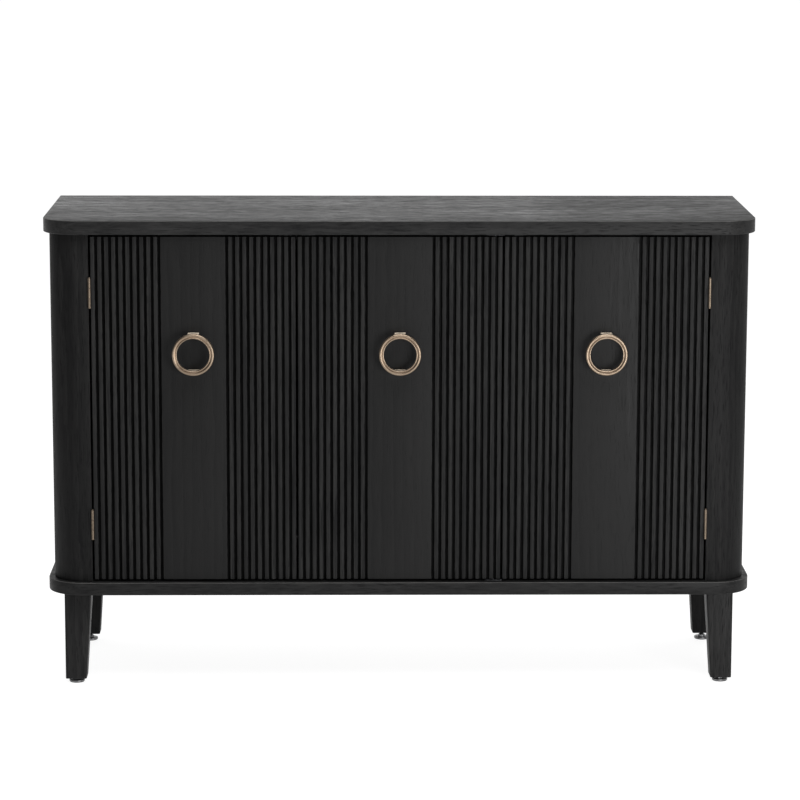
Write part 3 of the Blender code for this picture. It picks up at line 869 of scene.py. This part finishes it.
@dataclass
class ReededDoor:
    """One flush door: reeds on both sides of a wide flat strip that carries a ring pull."""

    bench: Bench
    word: str
    reeds: int = 10
    reed_width: float = 0.0080
    groove_width: float = 0.0037
    groove_depth: float = GROOVE_DEPTH
    reed_round: float = GROOVE_SHOULDER
    groove_round: float = 0.0005
    round_steps: int = 5

    @property
    def body(self) -> str:
        """The body that the door is."""
        return self.word + "_door_body"

    def lands(self, width: float) -> list[Point]:
        """The raised lands from left to right, about the door's middle."""
        pitch = self.reed_width + self.groove_width
        left = [(-width / 2.0 + i * pitch, -width / 2.0 + i * pitch + self.reed_width)
                for i in range(self.reeds)]
        strip = width / 2.0 - self.reeds * pitch
        return left + [(-strip, strip)] + [(-high, -low) for low, high in reversed(left)]

    def outline(self, low: Vector, high: Vector) -> list[Point]:
        """The door's plan, with rounded lands and small fillets at the feet of the grooves."""
        middle = (low.x + high.x) / 2.0
        face = low.y
        lands = self.lands(high.x - low.x)
        points: list[Point] = []
        for index, (left, right) in enumerate(lands):
            ease = self.reed_round
            points += arc((middle + left + ease, face + ease), ease, 180.0, 270.0, self.round_steps)
            points += arc((middle + right - ease, face + ease), ease, 270.0, 360.0, self.round_steps)
            if index + 1 == len(lands):
                break
            small = self.groove_round
            floor = face + self.groove_depth
            after = lands[index + 1][0]
            points += arc((middle + right + small, floor - small), small, 180.0, 90.0, 2)
            points += arc((middle + after - small, floor - small), small, 90.0, 0.0, 2)
        back_ease = 0.0008
        points += arc((high.x - back_ease, high.y - back_ease), back_ease, 0.0, 90.0, 2)
        points += arc((low.x + back_ease, high.y - back_ease), back_ease, 90.0, 180.0, 2)
        return points

    def build(self) -> None:
        """Make the door, its pull and its strike plate."""
        name = self.word + "_door"
        low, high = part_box(name)
        shape = raised_outline(self.outline(low, high), low.z, high.z, 0.0003, 1)
        door = self.bench.loose(name + "_reeded", shape)
        if self.word == "middle":
            self.bench.carve(door, self.bush_holes(low, high))
        self.bench.dress(door, REED_WOOD, self.body, "reeded_door_wood", [name])
        self.smooth_strip(door)
        RingPull(self.bench, self.word, self.body).build()
        StrikePlate(self.bench, self.word, self.body).build()

    def smooth_strip(self, door: bpy.types.Object) -> None:
        """Give the wide flat strip between the reeds its closer, smoother grain."""
        door.data.materials.append(self.bench.palette.get(STRIP_WOOD))
        front = [face for face in door.data.polygons if face.normal.y < -0.99]
        max(front, key=lambda face: face.area).material_index = 1

    @staticmethod
    def bush_holes(low: Vector, high: Vector) -> list[bmesh.types.BMesh]:
        """Cutters for the pivot bushes in the door's two ends."""
        tools = []
        for end, edge in ((End.UPPER, high.z), (End.LOWER, low.z)):
            bush_low, bush_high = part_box(end.word + "_pivot_bush")
            middle = (bush_low + bush_high) / 2.0
            radius = (bush_high.x - bush_low.x) / 2.0 + 0.0002
            depth = 0.0100
            rod = turned([(0.0, depth), (radius, depth), (radius, -depth), (0.0, -depth)], 36)
            tools.append(moved(rod, Matrix.Translation((middle.x, middle.y, edge))))
        return tools


@dataclass
class RingPull:
    """A fixed cast ring on two blocks."""

    bench: Bench
    word: str
    body: str
    steps: int = 96
    groove_sink: float = 0.0011

    def profile(self, outer: float, inner: float, half: float) -> list[Point]:
        """The ring's section: an outer bead, a fine groove, and an inner bead that slopes inwards."""
        band = outer - inner
        big = band * 0.33
        small = band * 0.15
        groove_at = outer - 2.0 * big
        sunk = half - self.groove_sink
        outer_bead = arc((outer - big, half - big), big, 0.0, 130.0, 8)
        inner_bead = arc((inner + small, half - small - 0.0004), small, 50.0, 180.0, 6)
        rim = 0.0008
        front_side = list(reversed(outer_bead + [(groove_at - 0.0002, sunk)] + inner_bead))
        rear = arc((outer - rim, -half + rim), rim, 0.0, -90.0, 2)
        rear += arc((inner + rim, -half + rim), rim, -90.0, -180.0, 2)
        return front_side + rear

    def build(self) -> None:
        """Make the ring and its two blocks."""
        node = self.word + "_ring_pull"
        low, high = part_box(node)
        centre = (low + high) / 2.0
        outer = (high.x - low.x) / 2.0
        block_low, block_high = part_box(self.word + "_ring_post_upper")
        band_middle = (block_low.z + block_high.z) / 2.0 - centre.z
        inner = 2.0 * band_middle - outer
        half = (high.y - low.y) / 2.0
        shape = turned(self.profile(outer, inner, half), self.steps, closed=True)
        self.bench.put(node + "_cast", moved(shape, facing_front(centre)), RING_BRASS, self.body,
                       "aged_brass", [node])
        for end in End:
            self.block(self.word + "_ring_post_" + end.word)

    def block(self, node: str) -> None:
        """A block between ring and door, with a slim waist and rounded edges."""
        low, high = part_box(node)
        middle = (low + high) / 2.0
        shape = bmesh.new()
        bmesh.ops.create_cube(shape, size=1.0)
        bmesh.ops.scale(shape, vec=high - low, verts=shape.verts)
        bmesh.ops.translate(shape, vec=middle, verts=shape.verts)
        deep = [e for e in shape.edges if abs(e.verts[0].co.y - e.verts[1].co.y) > 0.001]
        bmesh.ops.subdivide_edges(shape, edges=deep, cuts=6, use_grid_fill=True)
        for vert in shape.verts:
            along = (vert.co.y - low.y) / (high.y - low.y)
            waist = 1.0 - 0.16 * math.sin(math.pi * along) ** 2
            vert.co.x = middle.x + (vert.co.x - middle.x) * waist
            vert.co.z = middle.z + (vert.co.z - middle.z) * waist
        corners = [e for e in shape.edges if len(e.link_faces) == 2 and e.calc_face_angle(0.0) > 1.0]
        soften(shape, corners, 0.0010, 3)
        # The blocks take the lighter brass, which is a painted highlight.
        self.bench.put(node + "_cast", shape, HIGHLIGHT_BLOCK_BRASS, self.body, "aged_brass", [node])


@dataclass
class StrikePlate:
    """A thin steel plate on the back of a door, held by one countersunk screw."""

    bench: Bench
    word: str
    body: str

    def build(self) -> None:
        """Make the plate and its screw."""
        node = self.word + "_strike_plate"
        low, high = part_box(node)
        plate = eased_block(low, high, 0.0003, 2)
        corners = [e for e in plate.edges
                   if abs(e.verts[0].co.y - e.verts[1].co.y) > 0.0003]
        soften(plate, corners, 0.0012, 4)
        self.bench.put(node + "_stamped", plate, STEEL, self.body, "zinc_steel", [node])
        head = Screw(self.bench, 0.0026, 0.0012)
        middle = (low + high) / 2.0
        at = Vector((middle.x, high.y, middle.z))
        head.drive(node + "_screw", at, Vector((0.0, 1.0, 0.0)), self.body, STEEL, "zinc_steel")


# ------------------------------------------------------------------ ironmongery


@dataclass
class Screw:
    """A small domed screw head with a cross recess."""

    bench: Bench
    radius: float
    dome: float
    recess: float = 0.00055

    def shape(self) -> bmesh.types.BMesh:
        """The head, flat side on the ground and dome up."""
        profile = [(0.0, self.dome)]
        for step in range(1, 7):
            angle = math.radians(90.0 * step / 6.0)
            profile.append((self.radius * math.sin(angle), self.dome * math.cos(angle)))
        profile.append((0.0, 0.0))
        return turned(profile, 32)

    def cross(self) -> list[bmesh.types.BMesh]:
        """Cutters for the two slots of the recess."""
        tools = []
        long = self.radius * 0.55
        thin = self.radius * 0.13
        for reach in ((long, thin), (thin, long)):
            low = Vector((-reach[0], -reach[1], self.dome - self.recess))
            tools.append(eased_block(low, Vector((reach[0], reach[1], self.dome + 0.001)), 0.00004, 1))
        return tools

    def drive(self, name: str, at: Vector, out: Vector, body: str, finish: object, slot: str) -> None:
        """Set the screw's head on a surface.

        Args:
            name: The piece's name.
            at: The point on the surface.
            out: The way out of the surface.
            body: The body it moves with.
            finish: What it is made of.
            slot: The record's material slot.
        """
        head = self.bench.loose(name, self.shape())
        self.bench.carve(head, self.cross())
        turn = out.to_track_quat("Z", "Y").to_matrix().to_4x4()
        head.data.transform(Matrix.Translation(at) @ turn)
        self.bench.dress(head, finish, body, slot)


@dataclass
class ButtHinge:
    """A brass butt hinge between a corner post and an outer door."""

    bench: Bench
    side: Side
    end: End
    facets: int = 40
    screw_spots: tuple[float, ...] = (-0.34, 0.0, 0.34)

    @property
    def name(self) -> str:
        """The hinge's name in the frame."""
        return self.side.word + "_" + self.end.word + "_hinge"

    def leaf(self, part: str, body: str, knuckles: Sequence[Point], axis: Vector, towards: int) -> None:
        """One leaf with its knuckles.

        Args:
            part: case_leaf or door_leaf.
            body: The body it moves with.
            knuckles: The low and high end of each knuckle.
            axis: A point on the pin's axis.
            towards: The side of the axis that the leaf lies on.
        """
        node = self.name + "_" + part
        low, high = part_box(node)
        radius = (high.x - low.x) / 2.0
        near, far = 0.0003, 0.0012
        xs = sorted((axis.x + towards * near, axis.x + towards * far))
        plate_low = Vector((xs[0], axis.y + 0.0028, low.z))
        plate_high = Vector((xs[1], high.y, high.z))
        plate = self.bench.loose(node + "_rolled", eased_block(plate_low, plate_high, 0.00015, 1))
        tools = []
        for bottom, top in knuckles:
            tab_low = Vector((xs[0], axis.y + radius * 0.5, bottom))
            tools.append(eased_block(tab_low, Vector((xs[1], axis.y + 0.0031, top)), 0.00002, 1))
            ease = 0.0002
            barrel = [(0.0, top), (radius - ease, top), (radius, top - ease), (radius, bottom + ease),
                      (radius - ease, bottom), (0.0, bottom)]
            tools.append(moved(turned(barrel, self.facets), Matrix.Translation((axis.x, axis.y, 0.0))))
        self.bench.carve(plate, tools, "UNION")
        bore = [(0.0, high.z + 0.01), (0.0011, high.z + 0.01), (0.0011, low.z - 0.01), (0.0, low.z - 0.01)]
        cutter = moved(turned(bore, self.facets), Matrix.Translation((axis.x, axis.y, 0.0)))
        self.bench.carve(plate, [cutter])
        self.bench.dress(plate, HINGE_BRASS, body, "aged_brass", [node])
        face_x = axis.x + towards * near
        tall = high.z - low.z
        for index, spot in enumerate(self.screw_spots):
            at = Vector((face_x, (plate_low.y + plate_high.y) / 2.0, (low.z + high.z) / 2.0 + spot * tall))
            Screw(self.bench, 0.0021, 0.00025, 0.0002).drive(
                node + "_screw_" + str(index), at, Vector((-towards, 0.0, 0.0)), body, HINGE_BRASS, "aged_brass")

    def build(self) -> None:
        """Make both leaves and the pin."""
        pin_low, pin_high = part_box(self.name + "_pin")
        axis = (pin_low + pin_high) / 2.0
        case_low, case_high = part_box(self.name + "_case_leaf")
        tall = case_high.z - case_low.z
        third = tall / 3.0
        play = 0.00015
        middle = (case_low.z + case_high.z) / 2.0
        outer = [(case_low.z, middle - third / 2.0 - play), (middle + third / 2.0 + play, case_high.z)]
        inner = [(middle - third / 2.0 + play, middle + third / 2.0 - play)]
        self.leaf("case_leaf", CASE, outer, axis, self.side.value)
        self.leaf("door_leaf", self.side.word + "_door_body", inner, axis, -self.side.value)
        self.pin(axis, pin_low, pin_high)

    def pin(self, axis: Vector, low: Vector, high: Vector) -> None:
        """The pin, with a small domed head over the upper knuckle."""
        head_radius = (high.x - low.x) / 2.0
        head_base = high.z - 0.0014
        shank = 0.0009
        dome = [(head_radius * math.sin(math.radians(a)), head_base + 0.0004
                 + 0.0010 * math.cos(math.radians(a))) for a in (0.0, 18.0, 36.0, 54.0, 72.0, 90.0)]
        profile = dome + [(head_radius, head_base), (shank, head_base), (shank, low.z + 0.0002),
                          (shank - 0.0002, low.z), (0.0, low.z)]
        shape = moved(turned(profile, 32), Matrix.Translation((axis.x, axis.y, 0.0)))
        self.bench.put(self.name + "_pin_turned", shape, HINGE_BRASS, CASE, "aged_brass", [self.name + "_pin"])


@dataclass
class Pivot:
    """One end's pivot of the middle door: a plate with a pin on the case and a bush in the door."""

    bench: Bench
    end: End

    def build(self) -> None:
        """Make the plate with its pin, two screws, and the bush."""
        node = self.end.word + "_pivot_plate"
        low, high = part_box(node)
        middle = (low + high) / 2.0
        thick = 0.0015
        base = high.z if self.end is End.UPPER else low.z
        inner = base - self.end.value * thick
        plate_low = Vector((low.x, low.y, min(base, inner)))
        plate_high = Vector((high.x, high.y, max(base, inner)))
        block = eased_block(plate_low, plate_high, 0.0002, 1)
        corners = [e for e in block.edges if abs(e.verts[0].co.z - e.verts[1].co.z) > 0.0008]
        soften(block, corners, 0.0015, 4)
        plate = self.bench.loose(node + "_stamped", block)
        radius, tip_ease = 0.0017, 0.0004
        tip = low.z if self.end is End.UPPER else high.z
        out = self.end.value
        root = base - out * thick / 2.0
        rod = [(0.0, root), (radius, root), (radius, tip + out * tip_ease), (radius - tip_ease, tip), (0.0, tip)]
        pin = moved(turned(rod, 36), Matrix.Translation((middle.x, middle.y, 0.0)))
        self.bench.carve(plate, [pin], "UNION")
        self.bench.dress(plate, DARK_STEEL, CASE, "zinc_steel", [node])
        for side in Side:
            at = Vector((middle.x + side.value * 0.0100, middle.y, inner))
            Screw(self.bench, 0.0021, 0.0007).drive(
                node + "_screw_" + side.word, at, Vector((0.0, 0.0, -out)), CASE, DARK_STEEL, "zinc_steel")
        self.bush()

    def bush(self) -> None:
        """The plastic bush that the pin turns in."""
        node = self.end.word + "_pivot_bush"
        low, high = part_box(node)
        middle = (low + high) / 2.0
        radius = (high.x - low.x) / 2.0
        bore = 0.0019
        half = (high.z - low.z) / 2.0
        ease = 0.0003
        profile = [(radius, half - ease), (radius, -half + ease), (radius - ease, -half), (bore + ease, -half),
                   (bore, -half + ease), (bore, half - ease), (bore + ease, half), (radius - ease, half)]
        shape = moved(turned(profile, 36, closed=True), Matrix.Translation(middle))
        self.bench.put(node + "_moulded", shape, PLASTIC, "middle_door_body", "black_plastic", [node])


@dataclass
class MagneticCatch:
    """A plastic catch under the top, with steel pole faces towards the doors."""

    bench: Bench
    node: str
    poles: int

    def build(self) -> None:
        """Make the housing, its pole faces and its screws."""
        low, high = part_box(self.node)
        housing = self.bench.loose(self.node + "_housing", eased_block(low, high, 0.0010, 3))
        cell = (high.x - low.x) / self.poles
        pockets = []
        for index in range(self.poles):
            middle = low.x + (index + 0.5) * cell
            pocket_low = Vector((middle - cell * 0.30, low.y - 0.001, low.z + 0.0028))
            pocket_high = Vector((middle + cell * 0.30, low.y + 0.0035, high.z - 0.0028))
            pockets.append(eased_block(pocket_low, pocket_high, 0.0002, 1))
        self.bench.carve(housing, pockets)
        self.bench.dress(housing, PLASTIC, CASE, "black_plastic", [self.node])
        for index in range(self.poles):
            middle = low.x + (index + 0.5) * cell
            for row, share in (("low", 0.34), ("high", 0.66)):
                z = low.z + (high.z - low.z) * share
                plate_low = Vector((middle - cell * 0.28, low.y + 0.0002, z - 0.0008))
                plate_high = Vector((middle + cell * 0.28, low.y + 0.0034, z + 0.0008))
                self.bench.put(self.node + "_pole_" + row + "_" + str(index),
                               eased_block(plate_low, plate_high, 0.0001, 1), STEEL, CASE, "zinc_steel")
        for side in Side:
            x = (low.x + high.x) / 2.0 + side.value * ((high.x - low.x) / 2.0 - 0.0045)
            at = Vector((x, (low.y + high.y) / 2.0, low.z))
            Screw(self.bench, 0.0022, 0.0009).drive(
                self.node + "_screw_" + side.word, at, Vector((0.0, 0.0, -1.0)), CASE, STEEL, "zinc_steel")


# ------------------------------------------------------------------ legs and feet


@dataclass
class TaperedLeg:
    """A square leg whose two inner faces slope in towards the foot, and its levelling foot."""

    bench: Bench
    side: Side
    front: bool
    top_width: float = 0.046
    foot_width: float = 0.036
    ease: float = 0.0030

    @property
    def word(self) -> str:
        """The corner's name in the frame."""
        return ("front_" if self.front else "back_") + self.side.word

    def build(self) -> None:
        """Make the leg and its foot."""
        node = self.word + "_leg"
        low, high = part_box(node)
        inward = Vector((-self.side.value, 1.0 if self.front else -1.0, 0.0))
        corner = Vector((high.x if self.side is Side.RIGHT else low.x, low.y if self.front else high.y, 0.0))
        shape = bmesh.new()
        bmesh.ops.create_cube(shape, size=1.0)
        for vert in shape.verts:
            upper = vert.co.z > 0.0
            width = self.top_width if upper else self.foot_width
            vert.co.x = corner.x + (vert.co.x + 0.5) * inward.x * width
            vert.co.y = corner.y + (vert.co.y + 0.5) * inward.y * width
            vert.co.z = high.z if upper else low.z
        bmesh.ops.recalc_face_normals(shape, faces=shape.faces)
        upright = [e for e in shape.edges if abs(e.verts[0].co.z - e.verts[1].co.z) > 0.05]
        soften(shape, upright, self.ease, 5)
        rims = [e for e in shape.edges if e.calc_face_angle(0.0) > 1.0]
        soften(shape, rims, 0.0010, 3)
        leg = self.bench.loose(node + "_turned_out", shape)
        foot_low, foot_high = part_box(self.word + "_foot")
        middle = (foot_low + foot_high) / 2.0
        radius, depth = 0.0043, 0.035
        bore = turned([(0.0, depth), (radius, depth), (radius, 0.0), (0.0, 0.0)], 32)
        self.bench.carve(leg, [moved(bore, Matrix.Translation((middle.x, middle.y, 0.0)))])
        # The back legs take the darker copy of the wood, which is painted shade.
        self.bench.dress(leg, UPRIGHT_WOOD if self.front else BACK_LEG_SHADED_WOOD, CASE, "stained_wood", [node])
        LevellingFoot(self.bench, self.word, self.word + "_foot_body").build()


@dataclass
class LevellingFoot:
    """A screwed foot: a threaded stem, a hexagonal nut and a disc with a plastic sole."""

    bench: Bench
    word: str
    body: str
    stem_radius: float = 0.0040
    thread_depth: float = 0.0004
    thread_pitch: float = 0.00125
    nut_radius: float = 0.0060
    disc_height: float = 0.0042
    nut_top: float = 0.0080

    def build(self) -> None:
        """Make the foot and its sole."""
        node = self.word + "_foot"
        low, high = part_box(node)
        middle = (low + high) / 2.0
        radius = (high.x - low.x) / 2.0
        sole = 0.0013
        to_place = Matrix.Translation((middle.x, middle.y, 0.0))
        disc = [(0.0, self.disc_height + 0.0006), (self.nut_radius, self.disc_height + 0.0004),
                (radius * 0.80, self.disc_height)]
        disc += arc((radius - 0.0009, self.disc_height - 0.0009 - 0.0001), 0.0009, 90.0, 0.0, 4)
        disc += [(radius, sole + 0.0002), (radius - 0.0008, sole + 0.00005), (0.0, sole + 0.00005)]
        foot = self.bench.loose(node + "_turned", moved(turned(disc, 64), to_place))
        nut = [(0.0, self.nut_top), (self.nut_radius * 0.9, self.nut_top), (self.nut_radius, self.nut_top - 0.0006),
               (self.nut_radius, self.disc_height), (0.0, self.disc_height)]
        stem = moved(self.stem(self.nut_top - 0.001, high.z), to_place)
        self.bench.carve(foot, [moved(turned(nut, 6), to_place), stem], "UNION")
        self.bench.dress(foot, FOOT_STEEL, self.body, "zinc_steel", [node])
        pad = [(0.0, sole), (radius - 0.0010, sole), (radius - 0.0006, sole - 0.0004), (radius - 0.0006, 0.0004),
               (radius - 0.0010, 0.0), (0.0, 0.0)]
        self.bench.put(node + "_sole", moved(turned(pad, 64), to_place), PLASTIC, self.body, "black_plastic")

    def stem(self, low_z: float, high_z: float) -> bmesh.types.BMesh:
        """The threaded stem, its thread drawn as close rings."""
        profile: list[Point] = [(0.0, high_z), (self.stem_radius - 2.0 * self.thread_depth, high_z)]
        turns = int((high_z - low_z) / self.thread_pitch)
        for index in range(turns):
            crest = high_z - (index + 0.5) * self.thread_pitch
            root = high_z - (index + 1.0) * self.thread_pitch
            profile += [(self.stem_radius, crest), (self.stem_radius - self.thread_depth, root)]
        profile += [(self.stem_radius - self.thread_depth, low_z), (0.0, low_z)]
        return turned(profile, 28)


# ------------------------------------------------------------------ studio


@dataclass
class Studio:
    """A pale floor, soft light and the camera."""

    bench: Bench
    floor_half: float = 150.0
    camera_at: Vector = field(default_factory=lambda: Vector((-0.0822, -5.424, 1.439)))
    camera_turn: float = 0.90
    camera_down: float = 10.163
    camera_roll: float = 0.129
    lens: float = 142.4
    glow: tuple[Point, ...] = ((-1.0, 0.34), (-0.64, 0.09), (0.04, 0.14), (0.70, 0.98))

    def floor(self) -> None:
        """A wide floor that the sideboard stands on."""
        shape = bmesh.new()
        bmesh.ops.create_grid(shape, x_segments=8, y_segments=8, size=self.floor_half)
        floor = self.bench.loose("studio_floor", shape)
        floor.data.materials.append(self.bench.palette.get(StudioFloor()))

    def world(self) -> None:
        """A surround that is white behind the sideboard, dim beside it and half lit in front of it.

        Each entry of glow is a direction's Y, from -1 in front to 1 behind, and how bright it is there.
        """
        world = bpy.data.worlds.new("studio_surround")
        bpy.context.scene.world = world
        world.use_nodes = True
        tree = world.node_tree
        direction = tree.nodes.new("ShaderNodeTexCoord")
        parts = tree.nodes.new("ShaderNodeSeparateXYZ")
        share = tree.nodes.new("ShaderNodeMapRange")
        share.inputs["From Min"].default_value = -1.0
        ramp = tree.nodes.new("ShaderNodeValToRGB")
        ramp.color_ramp.interpolation = "EASE"
        stops = ramp.color_ramp.elements
        while len(stops) < len(self.glow):
            stops.new(0.5)
        for stop, (toward, level) in zip(stops, self.glow):
            stop.position = (toward + 1.0) / 2.0
            stop.color = (level, level, level, 1.0)
        tree.links.new(direction.outputs["Generated"], parts.inputs["Vector"])
        tree.links.new(parts.outputs["Y"], share.inputs["Value"])
        tree.links.new(share.outputs["Result"], ramp.inputs["Fac"])
        tree.links.new(ramp.outputs["Color"], tree.nodes["Background"].inputs["Color"])

    def softbox(self, name: str, at: Vector, look_at: Vector, size: float, watts: float) -> None:
        """One square soft light.

        Args:
            name: The light's name.
            at: Where it hangs.
            look_at: What it points at.
            size: The length of its sides.
            watts: Its power.
        """
        light = bpy.data.lights.new(name, "AREA")
        light.shape = "SQUARE"
        light.size = size
        light.energy = watts
        item = bpy.data.objects.new(name, light)
        item.location = at
        item.rotation_euler = (look_at - at).to_track_quat("-Z", "Y").to_euler()
        item.visible_camera = False
        bpy.context.scene.collection.objects.link(item)

    def camera(self) -> None:
        """A long lens a little above the sideboard and a little to its left."""
        lens = bpy.data.cameras.new("front_camera")
        lens.lens = self.lens
        lens.sensor_width = 36.0
        lens.clip_end = 400.0
        item = bpy.data.objects.new("front_camera", lens)
        turn = Matrix.Rotation(math.radians(-self.camera_turn), 4, "Z")
        tilt = Matrix.Rotation(math.radians(90.0 - self.camera_down), 4, "X")
        roll = Matrix.Rotation(math.radians(self.camera_roll), 4, "Z")
        item.matrix_world = Matrix.Translation(self.camera_at) @ turn @ tilt @ roll
        bpy.context.scene.collection.objects.link(item)
        bpy.context.scene.camera = item

    def build(self) -> None:
        """Set up the whole studio."""
        self.floor()
        self.world()
        middle = Vector((0.0, 0.0, 0.45))
        self.softbox("key_light", Vector((1.0, -1.9, 0.36)), Vector((0.2, -0.17, 0.45)), 1.0, 28.0)
        self.softbox("top_light", Vector((0.2, -1.1, 3.4)), middle, 2.6, 115.0)
        self.camera()
        bpy.context.scene.view_settings.view_transform = "Standard"


def main() -> None:
    logging.basicConfig(level=logging.INFO, format="%(message)s")
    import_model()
    bench = Bench(Palette())
    Studio(bench).build()
    Carcass(bench).build()
    for word in ("left", "middle", "right"):
        ReededDoor(bench, word).build()
    for side in Side:
        for end in End:
            ButtHinge(bench, side, end).build()
    for end in End:
        Pivot(bench, end).build()
    MagneticCatch(bench, "pair_catch", 2).build()
    MagneticCatch(bench, "single_catch", 1).build()
    for side in Side:
        for front in (True, False):
            TaperedLeg(bench, side, front).build()
    LOG.info("%d pieces made", bench.count)


if __name__ == "__main__":
    main()
